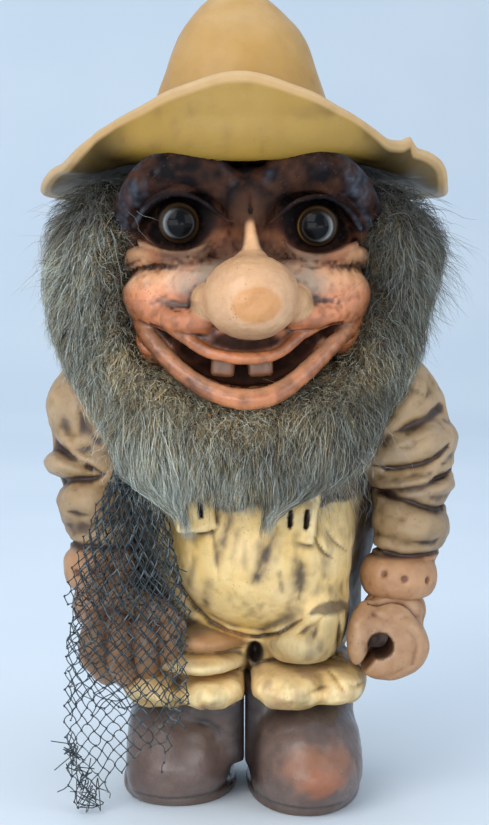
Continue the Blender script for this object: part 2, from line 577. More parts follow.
cheekpale = sstep(hz, 183.5, 190) * (1 - sstep(hz, 192, 197)) * sstep(np.abs(hx - 1), 20, 28)
shade_under = np.clip(1 - np.sqrt(((hx - 0.6) / 14.5) ** 2 + ((hz - 168.6) / 4.4) ** 2), 0, 1) * (hy > -68)
philtrum = sstep(shade_under, 0.0, 0.38) * (1 - nose_m) * (1 - ulip_m * 0.55)
crease = np.clip(cav_s * 1.0 + cav_m * 0.8, 0, 1) * (1 - nose_m * 0.8)
side_nose = (1 - sstep(egg(HP, (2.3, -58, 187), (28, 22, 17)), -6, 5)) * (1 - nose_m) * (1 - wing_m)

DK = np.array(srgb(19, 16, 18))
BR = np.array(srgb(94, 56, 38))
ORG = np.array(srgb(202, 122, 76))
SAL = np.array(srgb(216, 146, 106))
TAN = np.array(srgb(214, 165, 122))
PEACH = np.array(srgb(224, 176, 132))
TIP = np.array(srgb(214, 150, 88))
GREYB = np.array(srgb(104, 110, 124))
LIP = np.array(srgb(190, 122, 80))
TOOTH = np.array(srgb(100, 66, 40))
BAG = np.array(srgb(120, 88, 72))
NOSEG = np.array(srgb(152, 134, 114))


def over(base, col, m):
    m = np.broadcast_to(np.clip(m, 0, 1), (len(base),))[:, None]
    return base * (1 - m) + col * m


n_big = fbm(HP, 14, 3, 5)
n_mid = fbm(HP, 4.5, 3, 8)
n_fine = noise(HP, 1.2, 12)
col = np.tile(ORG, (len(hv), 1))
col = over(col, SAL, sstep(hz, 168, 182) * 0.75 + n_big * 0.35)
col = over(col, TAN, cheekpale * (0.75 + 0.4 * n_mid))
col = over(col, BR, 0.55 * sstep(np.abs(hx - 1), 34, 43) * (1 - sstep(hz, 176, 190)) + 0.25 * np.clip(n_mid, 0, 1))
col = over(col, BAG * 0.8, eyebag * (0.9 + 0.5 * n_mid))
col = over(col, np.array(srgb(236, 204, 182)), cheekpale * np.clip(0.1 + 1.1 * n_mid, 0, 0.6) * (hx < 0))
col = over(col, NOSEG, side_nose * (0.85 + 0.4 * n_mid) * sstep(hz, 178, 187))
col = over(col, DK, np.clip(dark * 1.25, 0, 1) * (0.98 + 0.1 * n_mid))
col = over(col, np.array(srgb(84, 58, 44)), (1 - sstep(np.sqrt(((hx - 1.5) / 8) ** 2 + ((hz - 209) / 13) ** 2), 0.3, 1.15)) * dark * (0.75 + 0.5 * n_mid) * (1 - sock_m))
col = over(col, np.array(srgb(38, 31, 29)), (1 - outer) * dark * (0.05 + 0.4 * n_gate) * (1 - sock_m))
col = over(col, GREYB, grey * (0.45 + 0.75 * n_mid + 0.35 * n_fine) * (hz > 199))
col = over(col, BR * 0.7, sstep(hz, 193, 197) * (1 - sstep(np.abs(hx - 1.5), 12, 24)) * (1 - nose_m) * (1 - bridge_m) * (0.55 + 0.4 * n_mid) * (1 - sstep(hz, 204, 214)))
col = over(col, DK, sock_m * 0.9)
col = over(col, TAN * 0.8, pale * (0.42 + 0.6 * n_mid) * (1 - sock_m * 0.6))
col = over(col, TAN, (1 - sstep(np.sqrt(((np.abs(hx - 1) - 39) / 6) ** 2 + ((hz - 196) / 4.5) ** 2), 0.5, 1.2)) * 0.5)
col = over(col, BR * 0.8, crease * 0.75)
col = over(col, DK, np.clip(cav_s - 0.25, 0, 1) * 1.2)
col = over(col, LIP, lip_m * 0.85)
col = over(col, BR * 0.9, lip_m * np.clip(0.26 + 0.9 * n_mid + 0.5 * sstep(np.abs(hx - 1), 20, 36) * (0.6 + n_gate), 0, 0.75))
col = over(col, LIP * 0.85, ulip_m * (0.62 + 0.4 * n_mid))
col = over(col, BR, (1 - sstep(np.abs(hz - 172), 2, 9)) * (np.abs(hx - 1) < 30) * (hz > 165) * (1 - nose_m) * (1 - lip_m) * np.clip(0.25 + 0.8 * n_gate, 0, 0.6))
col = over(col, DK, philtrum * 0.92)
col = over(col, PEACH, np.maximum(nose_m, bridge_m * 0.95))
col = over(col, np.array(srgb(222, 178, 130)), wing_m * (1 - nose_m) * 0.9)
col = over(col, TIP, tip_m * 0.85)
col = over(col, BR, (nose_m * sstep(-hn[:, 2], 0.55, 0.95)) * 0.35)
col = over(col, np.array(srgb(30, 18, 15)), mouth_m * 0.97)
col = over(col, np.array(srgb(96, 56, 40)), mouth_m * (1 - sstep(hz - low, 0.8, 3.4)) * (0.6 + 0.5 * n_mid))
col = over(col, TOOTH, teeth_m * 0.9)
col = over(col, DK, teeth_m * sstep(hz, 160.5, 163) * 0.7)
col = over(col, np.array(srgb(240, 190, 150)), lip_m * sstep(hn[:, 2], 0.25, 0.8) * 0.25)
col = over(col, BR, (hz < 196) * (hz > 160) * (1 - nose_m) * (1 - wing_m) * (1 - lip_m) * np.clip(1.2 * fbm(HP, 3.0, 3, 23) - 0.1, 0, 0.5))
col = col * (1 - 0.2 * np.maximum(nose_m, wing_m) - 0.2 * (hz < 182) * sstep(-hx, 4, 20) * (1 - nose_m))[:, None]
gloss = np.clip(0.3 + 0.45 * lip_m + 0.2 * ulip_m + 0.2 * (hz < 192) - 0.6 * np.maximum(np.maximum(dark, philtrum), np.maximum(mouth_m, sock_m)) - 0.3 * eyebag, 0.0, 1)


def skin_material(name, speckle=0.5, base_rough=0.5):
    m = Mat(name)
    c = m.attr("paint", True)
    fine = m.noise(900, 5, 0.65)
    mid = m.noise(240, 5, 0.6)
    c = m.mix(m.ramp(mid, 0.35, 0.75, 0.0, 0.28), c, m.mix(1.0, c, (0.55, 0.42, 0.36), "MULTIPLY"))
    spots = m.ramp(m.voronoi(620), 0.10, 0.22, 1.0, 0.0)
    gate = m.ramp(m.noise(90, 3), 0.45, 0.62)
    c = m.mix(m.math("MULTIPLY", m.math("MULTIPLY", spots, gate), speckle), c, (0.10, 0.05, 0.03))
    c = m.mix(m.ramp(fine, 0.3, 0.7, 0.0, 0.16), c, m.mix(1.0, c, (1.35, 1.28, 1.2), "MULTIPLY"))
    m.set("Base Color", c)
    g = m.attr("gloss")
    r = m.ramp(g, 0.0, 1.0, base_rough, 0.2, smooth=False)
    m.set("Roughness", m.math("ADD", r, m.ramp(mid, 0.3, 0.8, -0.06, 0.12)))
    m.set("Specular IOR Level", m.ramp(g, 0.0, 0.5, 0.05, 0.45))
    m.set("Coat Weight", m.math("MULTIPLY", g, 0.30))
    m.set("Coat Roughness", 0.18)
    m.set("Normal", m.bump(fine, 0.25, 0.0004, m.bump(mid, 0.25, 0.0008)))
    return m.m


skin_mat = skin_material("face_paint", 0.55)
make_mesh("head_paint", hv, hq, {"paint": col, "gloss": gloss}, replaces=("head_casting",), material=skin_mat)
# ------------------------------------------------------------------------------------------------ hat
def soft_table(x, xs, ys):
    """Smooth interpolation through a table, flat at both ends."""
    xs, ys = np.array(xs, float), np.array(ys, float)
    d = np.diff(ys) / np.diff(xs)
    m = np.zeros(len(xs))
    m[1:-1] = np.where(d[:-1] * d[1:] > 0, 2 * d[:-1] * d[1:] / (d[:-1] + d[1:] + 1e-12), 0)
    i = int(np.clip(np.searchsorted(xs, x) - 1, 0, len(xs) - 2))
    h = xs[i + 1] - xs[i]
    t = (x - xs[i]) / h
    return ((2 * t ** 3 - 3 * t ** 2 + 1) * ys[i] + (t ** 3 - 2 * t ** 2 + t) * h * m[i]
            + (3 * t ** 2 - 2 * t ** 3) * ys[i + 1] + (t ** 3 - t ** 2) * h * m[i + 1])


def hat_profile(phi):
    """The hat's outer face at an angle from the front (degrees, + towards +X): rows of (radius, height)."""
    a = abs(phi)
    left = phi < 0
    fr = soft_table(a, [0, 20, 35, 50, 63, 74, 84, 92, 120, 180], [50.5, 50.0, 49.5, 50.5, 52.5, 56.0, 60, 61, 61, 61])
    fz = soft_table(a, [0, 20, 35, 50, 63, 74, 84, 92, 120, 180], [233.0, 233.1, 232.9, 232.2, 231.2, 229.6, 228.3, 227.6, 228.0, 228.6])
    if left:
        rr = soft_table(a, [0, 20, 35, 50, 60, 68, 73, 76, 79, 84, 90, 97, 120, 150, 180], [61, 60.3, 58.4, 57.6, 58.6, 61.8, 64.6, 66.2, 67.6, 70.6, 73.6, 75.0, 76.4, 77.6, 78])
        rz = soft_table(a, [0, 20, 35, 50, 60, 68, 73, 76, 79, 84, 90, 97, 120, 150, 180], [257.6, 252.7, 247.0, 241.8, 238.4, 234.6, 231.6, 229.6, 229.2, 227.2, 223.4, 221.6, 220.6, 220.2, 220.0])
    else:
        rr = soft_table(a, [0, 20, 35, 50, 60, 66, 69.5, 71, 74, 79, 84, 90, 97, 120, 150, 180], [61, 60.3, 58.0, 56.6, 57.4, 59.4, 61.4, 61.9, 64.0, 68.4, 71.6, 73.4, 75.0, 76.4, 77.6, 78])
        rz = soft_table(a, [0, 20, 35, 50, 60, 66, 69.5, 71, 74, 79, 84, 90, 97, 120, 150, 180], [257.6, 252.2, 245.8, 239.4, 236.2, 236.2, 238.8, 234.6, 234.4, 232.6, 229.2, 224.0, 221.4, 220.6, 220.2, 220.0])
    base = 35.2 + 0.8 * math.cos(math.radians(phi))
    pts = [(0.0, 295.3), (3.2, 294.9), (6.8, 292.8), (9.6, 289.7), (13.6, 286.2), (17.4, 282.6), (20.8, 279.0), (25.2, 272.2),
           (28.4, 264.0), (31.0, 254.0), (33.0, 246.5), (base, 241.0), (base + 4.2, 237.9)]
    mr, mz = base + 4.2 + 0.62 * (fr - base - 4.2), 237.9 + 0.62 * (fz - 237.9)
    pts += [(mr, mz), (fr - 1.2, fz + 0.1), (fr + 1.3, fz + (1.4 if a < 60 else 0.0))]
    for t in (0.3, 0.62, 0.86, 1.0):
        bulge = (1.6 if a < 70 else 0.4) * math.sin(math.pi * t)
        pts.append((fr + 1.3 + (rr - fr - 1.3) * t + bulge * 0.7, fz + (rz - fz) * t - bulge * 0.35))
    return np.array(pts)


def build_hat():
    NP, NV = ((240, 90))
    phis = np.linspace(-180, 180, NP, endpoint=False)
    grid = np.zeros((NP, NV, 3))
    vv = None
    for i, ph in enumerate(phis):
        prof = hat_profile(ph)
        path = smooth_path([(r, z, 0) for r, z in prof], 400)[:, :2]
        if vv is None:
            s = np.concatenate([[0], np.cumsum(np.linalg.norm(np.diff(path, axis=0), axis=1))])
        s = np.concatenate([[0], np.cumsum(np.linalg.norm(np.diff(path, axis=0), axis=1))])
        u = np.linspace(0, s[-1], NV)
        r = np.interp(u, s, path[:, 0])
        z = np.interp(u, s, path[:, 1])
        a = math.radians(ph)
        cx = np.interp(z, [240, 254, 272, 286, 295], [0.0, -1.3, -1.3, -2.2, -2.6])
        crown = sstep(z, 236, 246)
        rx = r * (1 + 0.0 * crown)
        x = rx * math.sin(a) + cx * crown
        y = -r * math.cos(a) * (1 - 0.02 * crown) + 1.0 * crown
        grid[i] = np.stack([x, y, z], 1)
    # soften angular breaks between neighbouring profiles, except at the torn corner of the rim
    for _ in range(2):
        g = (np.roll(grid, 1, 0) + np.roll(grid, -1, 0)) / 2
        w = np.full(NV, 0.5)
        w[-int(NV * 0.12):] = 0.25
        grid = grid * (1 - w[None, :, None]) + g * w[None, :, None]
    grid[:, 0] = grid[:, 0].mean(0)
    P = grid.reshape(-1, 3)
    idx = np.arange(NP * NV).reshape(NP, NV)
    quads = np.stack([idx[:, :-1], np.roll(idx, -1, 0)[:, :-1], np.roll(idx, -1, 0)[:, 1:], idx[:, 1:]], -1).reshape(-1, 4)
    n = vertex_normals(P, quads)
    if (n[:, 2] * (P[:, 2] > 280)).sum() < 0:
        quads = quads[:, ::-1]
        n = -n
    P32 = P.astype(f32)
    # soft dents and a few pulled creases
    rimness = np.tile(np.linspace(0, 1, NV), NP)
    amp = 0.9 * (1 - sstep(rimness, 0.6, 0.8)) + 0.45
    d = amp * fbm(P32, 24, 2, 21) + 0.25 * fbm(P32, 7, 2, 22)
    for path, w_, dep in (([(9, -22, 283), (13, -21, 277), (19, -20, 270)], 2.4, 1.2),
                          ([(12, -24, 281), (18, -22, 275), (22, -20, 266)], 1.8, 0.7),
                          ([(-12, -20, 286), (-9, -24, 280), (-6, -27, 272)], 3.0, 0.6),
                          ([(-31, -8, 262), (-30, -14, 254), (-31, -20, 247)], 3.0, 0.8),
                          ([(26, 18, 270), (28, 20, 260), (31, 22, 250)], 3.0, 1.0),
                          ([(-20, 24, 274), (-24, 24, 264), (-27, 26, 252)], 3.2, 1.1),
                          ([(4, 28, 272), (2, 32, 260), (0, 36, 248)], 3.4, 0.8)):
        t = near_path(P32, path)
        d -= dep * np.exp(-(t / w_) ** 2)
    P = P + n * d[:, None]
    n = vertex_normals(P, quads)
    # the shell: 3.4 mm thick, rounded at the rim
    T = 3.4
    t = np.interp(rimness, [0, 0.85, 1], [T, T, T * 0.92])
    nb = blur_normals(n, quads, 3)
    inner = P - nb * t[:, None]
    rows = [P.reshape(NP, NV, 3)]
    rim, rin, rn = P.reshape(NP, NV, 3)[:, -1], inner.reshape(NP, NV, 3)[:, -1], nb.reshape(NP, NV, 3)[:, -1]
    tang = rim - P.reshape(NP, NV, 3)[:, -3]
    tang /= np.linalg.norm(tang, axis=1)[:, None]
    mid = (rim + rin) / 2
    half = np.linalg.norm(rim - rin, axis=1)[:, None] / 2
    lips = []
    for k in range(1, 8):
        a = math.pi * k / 8
        lips.append(mid + rn * half * math.cos(a) + tang * half * 0.95 * math.sin(a))
    lips = np.stack(lips, 1)
    full = np.concatenate([rows[0], lips, inner.reshape(NP, NV, 3)[:, ::-1]], 1)
    M = full.shape[1]
    V_ = full.reshape(-1, 3)
    idx = np.arange(NP * M).reshape(NP, M)
    q = np.stack([idx[:, :-1], np.roll(idx, -1, 0)[:, :-1], np.roll(idx, -1, 0)[:, 1:], idx[:, 1:]], -1).reshape(-1, 4)
    nn = vertex_normals(V_, q)
    if (nn[:, 2] * (V_[:, 2] > 294)).sum() < 0:
        q = q[:, ::-1]
    v_par = np.concatenate([np.linspace(0, 1, NV), np.full(7, 1.02), np.linspace(1.04, 2.04, NV)])
    par = np.tile(v_par, NP)
    return V_, q, par


def blur_normals(n, quads, times):
    e = edges_of(quads)
    m = np.stack([blur(n[:, k], e, len(n), times) for k in range(3)], 1)
    return m / np.maximum(np.linalg.norm(m, axis=1), 1e-9)[:, None]


tv, tq, tpar = build_hat()
# weld the crown's poles
def weld(verts, quads, tol=1e-4):
    key = np.round(verts / tol).astype(np.int64)
    _, first, inv = np.unique(key, axis=0, return_index=True, return_inverse=True)
    inv = inv.ravel()
    q = inv[quads]
    return verts[first], q, first


tv, tq, first = weld(tv, tq)
tpar = tpar[first]
HT = tv.astype(f32)
hn2 = vertex_normals(tv, tq)
rim_m = (np.abs(tpar - 1.02) < 0.035).astype(float)
edge_m = np.exp(-((tpar - 1.0) / 0.035) ** 2)
front = (tv[:, 1] < 0)
flap_m = ((tpar > 0.66) & (tpar < 1.0) & (tv[:, 1] < -15)).astype(float)
H_OCH = np.array(srgb(206, 158, 84))
H_YEL = np.array(srgb(196, 156, 56))
H_PALE = np.array(srgb(222, 186, 140))
H_DRK = np.array(srgb(120, 84, 40))
nb_ = fbm(HT, 20, 3, 31)
nm_ = fbm(HT, 6, 3, 32)
hc = np.tile(H_OCH, (len(tv), 1))
hc = over(hc, H_YEL, flap_m * sstep(-tv[:, 2], -252, -233) * 0.85 + 0.15 * flap_m + nb_ * 0.12)
hc = over(hc, H_PALE, 0.30 * np.clip(nb_ + 0.2, 0, 1) + 0.25 * (tv[:, 2] > 262) * np.clip(nm_, 0, 1))
hc = over(hc, H_PALE, np.clip(edge_m * 0.75 + 0.25 * nm_ * edge_m, 0, 0.9) + rim_m * 0.35)
under = (tpar > 1.06)
hc = over(hc, H_YEL * 0.72, under * 0.8)
hc = over(hc, H_DRK, under * sstep(1.0 * nm_, 0.1, 0.7) * 0.3)
hc = over(hc, H_DRK, np.clip(nm_ - 0.35, 0, 1) * 0.35)
gloss_h = np.full(len(tv), 0.35)


def hat_material():
    m = Mat("hat_paint_layers")
    c = m.attr("paint", True)
    mid = m.noise(120, 6, 0.6)
    fine = m.noise(800, 4, 0.6)
    big = m.noise(28, 3, 0.5)
    c = m.mix(m.ramp(big, 0.35, 0.7, 0.0, 0.22), c, m.mix(1.0, c, (1.16, 1.08, 0.92), "MULTIPLY"))
    c = m.mix(m.ramp(mid, 0.40, 0.72, 0.0, 0.20), c, m.mix(1.0, c, (0.70, 0.62, 0.50), "MULTIPLY"))
    specks = m.math("MULTIPLY", m.ramp(m.voronoi(260), 0.06, 0.14, 1.0, 0.0), m.ramp(m.noise(60, 2), 0.55, 0.68))
    c = m.mix(m.math("MULTIPLY", specks, 0.45), c, (0.22, 0.13, 0.05))
    m.set("Base Color", c)
    m.set("Roughness", m.ramp(mid, 0.3, 0.8, 0.40, 0.58))
    m.set("Specular IOR Level", m.math("MULTIPLY", m.attr("gloss"), 0.42))
    m.set("Coat Weight", m.math("MULTIPLY", m.attr("gloss"), 0.12))
    m.set("Coat Roughness", 0.35)
    m.set("Normal", m.bump(fine, 0.18, 0.0004, m.bump(mid, 0.30, 0.0010)))
    return m.m


hr_ = np.hypot(tv[:, 0], tv[:, 1])
hc = over(hc, np.array(srgb(16, 14, 13)), under * (1 - sstep(hr_, 58, 72)) * sstep(tv[:, 1], -48, -30) * 0.97)
gloss_h = 1 - 0.97 * under * (1 - sstep(hr_, 58, 72)) * sstep(tv[:, 1], -48, -30)
hc = over(hc, np.array(srgb(112, 90, 52)), under * sstep(np.abs(tv[:, 0]), 34, 72) * 0.7)
hc = hc * np.array([0.74, 0.75, 0.74])
make_mesh("hat_shell", tv, tq, {"paint": hc, "gloss": gloss_h}, replaces=("hat",), material=hat_material())
# ------------------------------------------------------------------------------------------------ torso and overalls
BIB_EDGE_Z = [40, 54, 68.7, 81.6, 97, 107, 125]
BIB_EDGE_X = [33.0, 33.2, 35.6, 38.4, 40.4, 41.4, 40]


def trunk(P):
    d = egg(P, (0, 2, 104), (49.0, 33.5, 58))
    d = smin(d, egg(P, (0, 2, 66), (43.5, 33, 26)), 8)
    return smin(d, egg(P, (0, -6, 122), (40, 32, 27)), 6)


def crease(P, d, pts, width, depth, side=-1, ylim=-4, n=12):
    """A soft crease that follows a line of (x, z) points over the front (side -1) or the back (+1)."""
    k = len(pts)
    path = [(x, 0, z, -1.2 * width if i in (0, k - 1) else 0.0) for i, (x, z) in enumerate(pts)]
    t = tube(P * V(1, 0, 1), path, n, margin=3.2 * width + 4)
    y = P[:, 1]
    m = (t < 3.2 * width) & ((y > ylim) if side > 0 else (y < ylim))
    if m.any():
        d = d.copy()
        tt = np.maximum(t[m], 0)
        d[m] += depth * np.exp(-(tt / f32(width)) ** 2) * sstep(np.abs(y[m] - ylim), 0, 4)
    return d


def torso_field(P):
    x, y, z = P[:, 0], P[:, 1], P[:, 2]
    base = trunk(P)
    # the bag-like front of the overalls: belly and bib
    bag = egg(P, (6.2, -14, 90), (35.0, 34.5, 29.6))
    bib = egg(P, (5.5, -6, 104), (36.0, 38.5, 27))
    top = 109.2 + 1.0 * np.sin(x * 0.19 + 0.6) + 0.6 * np.sin(x * 0.47)
    edge = np.interp(z, BIB_EDGE_Z, BIB_EDGE_X).astype(f32)
    bag = smin(bag, smax(bib, z - top, 1.6), 6)
    bag = smax(bag, np.maximum(x - edge, -x - edge * 0.86), 2.2)
    bag = smax(bag, y - 4, 3)
    d = smin(base, bag, 0.9)
    # trouser legs: viewer's left has two rolls, viewer's right one bulge, both with a heavy hem
    d = smin(d, egg(P, (-14.5, -9, 60.2), (18.5, 33.5, 7.4)), 1.4)
    d = smin(d, egg(P, (-16.4, -10, 51.8), (19.2, 34.0, 6.0)), 1.0)
    d = smin(d, egg(P, (20.2, -11, 60.6), (15.8, 35.5, 12.6)), 2.2)
    d = smin(d, egg(P, (26, -14, 70), (12.5, 30, 13)), 6)
    d = smin(d, egg(P, (-12.0, -11, 41.8), (14.6, 34.5, 8.2)), 1.0)
    d = smin(d, egg(P, (-31.5, -10, 41.4), (14.6, 29.5, 7.8), rot_xyz(0, 5, 0)), 3)
    d = smin(d, egg(P, (16.0, -11, 43.2), (16.6, 37.0, 9.4)), 1.0)
    d = smin(d, egg(P, (32.6, -10, 42.8), (12.6, 30.5, 9.0), rot_xyz(0, 8, 0)), 3)
    # the gap between the legs
    d = smax(d, -egg(P, (3.7, -42, 54.2), (3.6, 24, 6.2)), 1.6)
    # brace tabs
    for cx, cz, hz_, ry in ((-18.2, 110.0, 9.4, -6), (18.8, 106.5, 9.6, 5)):
        R = rot_xyz(-8, ry, -cx * 0.65)
        d = smin(d, brick(P, (cx, -41.2, cz), (7.2, 3.2, hz_), 1.8, R), 0.9)
        d = smin(d, brick(P, (cx - (0.9 if cx < 0 else -0.9), -38.0, cz + 16), (6.8, 3.0, 12), 1.6, rot_xyz(-20, ry, -cx * 0.65)), 1.2)
        for off in (-2.9, 2.9):
            d = smax(d, -brick(P, (cx + off, -43.8, cz - 1.0), (0.75, 2.6, 3.4), 0.6, R), 0.5)
    # folds in the bib, belly and legs
    for path, w, dep in (
            ([(-12, 105), (-10, 94), (-9, 84)], 1.6, 0.8),
            ([(11.5, 103), (7, 93), (2.5, 83)], 2.0, 1.2),
            ([(19.4, 93), (20, 86), (19.2, 77)], 2.4, 1.3),
            ([(23.5, 101), (27, 94), (32, 90)], 0.9, 1.2),
            ([(27.5, 103), (31, 97), (36.5, 92)], 0.8, 1.0),
            ([(-5, 107), (-7, 98), (-8, 90)], 1.6, 0.6),
            ([(-33, 96), (-26, 84), (-17, 70.5), (-8, 64), (2, 61), (8, 61.6), (13, 64.4), (20, 69.5)], 0.9, 2.0),
            ([(18, 64.5), (22, 66.5), (29, 72)], 1.2, 0.8),
            ([(27, 71), (25, 66), (23.5, 62)], 1.1, 0.7),
            ([(33.5, 72), (33.4, 62), (33.5, 52)], 1.0, 1.4),
            ([(-34, 57), (-20, 56.6), (-6, 56.8), (1.5, 57)], 0.8, 1.0),
            ([(-36, 48.6), (-18, 47.6), (-6, 47.8), (1, 48.5)], 0.9, 1.6),
            ([(4, 51), (16, 51.4), (30, 51.2), (37, 50)], 0.9, 1.6),
            ([(1.0, 53), (1.2, 46), (1.0, 40), (1, 34)], 1.2, 2.4),
            ([(-34, 40), (-27, 43), (-20, 46)], 1.6, 0.9), ([(-20, 44), (-15, 39), (-13, 35)], 1.5, 0.7),
            ([(9, 45), (20, 43.4), (30, 45)], 1.5, 0.8), ([(29, 50), (33, 46), (36, 42)], 1.2, 1.1), ([(36, 47), (39, 44), (44, 43)], 1.0, 0.8)):
        d = crease(P, d, path, w, dep)
    for path, w, dep in (
            ([(-40, 60), (-20, 57), (0, 56), (20, 57), (40, 60)], 1.6, 1.4),
            ([(0, 100), (1, 84), (0, 70), (0, 50), (0, 34)], 1.6, 1.8),
            ([(-25, 92), (-12, 84), (-4, 74)], 2.2, 1.0), ([(25, 92), (12, 84), (4, 74)], 2.2, 1.0),
            ([(-42, 104), (-15, 100), (15, 100), (42, 104)], 1.2, 1.2)):
        d = crease(P, d, path, w, dep, 1, 6)
    near = np.abs(d) < 4
    if near.any():
        Q = P[near]
        lump = 0.75 * fbm(Q, 13, 2, 41) + 0.35 * fbm(Q, 5, 2, 42)
        hem = (1.1 * noise(Q, 9.5, 44) + 0.7 * noise(Q, 5, 46)) * (1 - sstep(Q[:, 2], 45, 52))
        d[near] += lump + hem
    # collar round the neck
    d = smin(d, np.maximum(np.sqrt(x * x + (y - 1) ** 2) - 23, np.abs(z - 149) - 4.5), 3)
    return np.maximum(d, z - 152.0)


bv, bq = field_mesh(torso_field, (-51, -53, 30), (51, 45, 156), 0.85)
bn = vertex_normals(bv, bq)
BP = bv.astype(f32)
bx, by, bz = bv.T
cs = cavity(bv, bq, 6, 0.30)
cm = cavity(bv, bq, 40, 1.1)
CREAM = np.array(srgb(222, 190, 134))
YELL = np.array(srgb(214, 176, 96))
OCH = np.array(srgb(170, 126, 62))
WASH = np.array(srgb(84, 68, 50))
WASHD = np.array(srgb(44, 34, 28))
OLIVE = np.array(srgb(128, 104, 70))
PALEC = np.array(srgb(226, 204, 156))
n1, n2, n3 = fbm(BP, 16, 3, 51), fbm(BP, 5, 3, 52), noise(BP, 1.6, 53)
bc = np.tile(CREAM, (len(bv), 1))
bc = over(bc, YELL, 0.5 + 0.9 * n1)
bc = over(bc, OCH, (1 - sstep(bz, 44, 66)) * (0.42 + 0.5 * n2))
bc = over(bc, PALEC, np.clip(-cm, 0, 1) * 0.7 + 0.3 * np.clip(n2, 0, 1))
# long brush strokes of grey-brown, running down the front
st = np.zeros(len(bv))
for x0, z0, x1, z1, wd, s in ((10.9, 102, 3.3, 84, 2.9, .95), (19.0, 92, 19.6, 80, 3.4, .85), (-4.6, 107, -10, 90, 2.0, .8),
                              (-12, 84, -14, 72, 2.0, .65), (-2.5, 103, -4.5, 92, 1.6, .5), (28, 92, 29, 84, 1.8, .6), (-17, 92, -20, 80, 1.5, .5),
                              (7.5, 96, 5.0, 90, 1.6, .5), (0, 71, 6, 69.5, 2.0, .6), (12.0, 88, 13.2, 80, 1.1, .6), (23.5, 66, 27, 58, 1.6, .6),
                              (-23, 78, -18, 69, 1.5, .6), (33.5, 80, 33, 70, 1.6, .5), (-8.5, 99, -10.5, 94, 1.2, .6), (-26, 100, -28, 88, 1.8, .5)):
    ax, az = x1 - x0, z1 - z0
    L = math.hypot(ax, az)
    t = ((bx - x0) * ax + (bz - z0) * az) / L / L
    off = np.abs((bx - x0) * az - (bz - z0) * ax) / L
    body = np.exp(-(off / (wd * (1 - 0.45 * np.abs(t - 0.5)))) ** 2) * sstep(t, -0.12, 0.1) * (1 - sstep(t, 0.88, 1.15))
    st = np.maximum(st, s * body * (0.75 + 0.9 * n2 + 0.25 * n3))
bc = over(bc, WASH, st * (by < -20))
vert = np.abs(noise(BP * V(1, 1, 0.16), 3.0, 57)) 
bc = over(bc, WASH, sstep(vert, 0.6, 0.9) * 0.28 * np.clip(0.5 + 1.5 * n1, 0, 1) * sstep(bz, 62, 75) * (1 - sstep(bz, 104, 112)))
bc = over(bc, WASH, np.clip(0.75 * cm + 0.3 * n2 * (cm > 0), 0, 0.85))
bc = over(bc, WASHD, np.clip(cs * 0.95 + 0.05, 0, 1) * (0.65 + 0.4 * n2))
# jumper above the bib and at the sides
edge = np.interp(bz, BIB_EDGE_Z, BIB_EDGE_X)
topz = 108.8 + 1.2 * np.sin(bx * 0.19 + 0.6) + 0.8 * np.sin(bx * 0.47)
tabs = (np.abs(bx + 18.2) < 8.4) & (by < -36) & (bz > 99)
tabs |= (np.abs(bx - 18.6) < 8.4) & (by < -36) & (bz > 96)
topz = topz + 0.4
bagv = np.minimum(egg(BP, (6.2, -14, 90), (35.0, 34.5, 29.6)), egg(BP, (5.5, -6, 104), (36.0, 38.5, 27)))
bib = (bagv < 4.5) & (bx < edge + 0.8) & (bx > -edge * 0.86 - 0.8) & (bz < topz) & (by < -4) | (bz < 58) | (bz < 72) & (by < -18) & (bx > 5) & (bx < 36) | tabs
back_bib = (by > 4) & (bz < 100)
jump = 1 - np.clip(blur((bib | back_bib).astype(float), edges_of(bq), len(bv), 2), 0, 1)
bc = over(bc, over(np.tile(OLIVE, (len(bv), 1)), WASH, np.clip(0.5 + 0.8 * n2 + 0.8 * cm, 0, 1)), jump)
bc = over(bc, WASHD, (1 - np.abs(2 * jump - 1)) * 0.85)
bc = over(bc, WASHD, sstep(np.abs(bx - 0.5), 36, 42) * (by < 2) * (by > -26) * sstep(bz, 50, 60) * (1 - sstep(bz, 116, 128)) * 0.8)
bc = over(bc, WASHD, (1 - sstep(np.sqrt(((bx - 3.7) / 3.9) ** 2 + ((bz - 54.2) / 5.6) ** 2), 0.7, 1.1)) * (by < -10) * 0.95)
bc = over(bc, WASHD, (bx < -22) * sstep(-by, 5, 12) * sstep(bz, 54, 62) * (1 - sstep(bx + (bz - 87) * 0.35, -34, -26)) * 0.8)
slots = np.zeros(len(bv))
for cx, cz in ((-18.2, 110), (18.8, 106.5)):
    for o in (-2.9, 2.9):
        slots = np.maximum(slots, 1 - sstep(np.sqrt(((bx - cx - o) / 1.1) ** 2 + ((bz - cz + 1) / 3.6) ** 2), 0.75, 1.15))
bc = over(bc, WASHD, slots * (by < -38))
# greenish dirt in the hems
bc = over(bc, np.array(srgb(118, 112, 74)), (1 - sstep(bz, 40, 50)) * np.clip(n2 + 0.15, 0, 1) * 0.6)
bc = over(bc, np.array(srgb(140, 104, 84)), (1 - sstep(bz, 46, 60)) * sstep(noise(BP, 7, 58), 0.1, 0.6) * 0.55)
bc = over(bc, WASH, sstep(fbm(BP * V(1, 1, 0.45), 5.5, 3, 59), 0.12, 0.5) * 0.42 * (bz < 112))
bc = over(bc, np.array(srgb(186, 128, 78)), (1 - sstep(np.sqrt(((bx + 10) / 14) ** 2 + ((bz - 60) / 5) ** 2), 0.5, 1.1)) * (by < -20) * 0.5)
bc = bc * (1 - 0.28 * sstep(bz, 48, 54) * (1 - sstep(bz, 66, 74)) * sstep(bx, 2, 8))[:, None]
bc = bc * (1 + 0.25 * (1 - sstep(bz, 44, 52)))[:, None]
bg = np.clip(0.35 + 0.3 * n1, 0.1, 0.7)


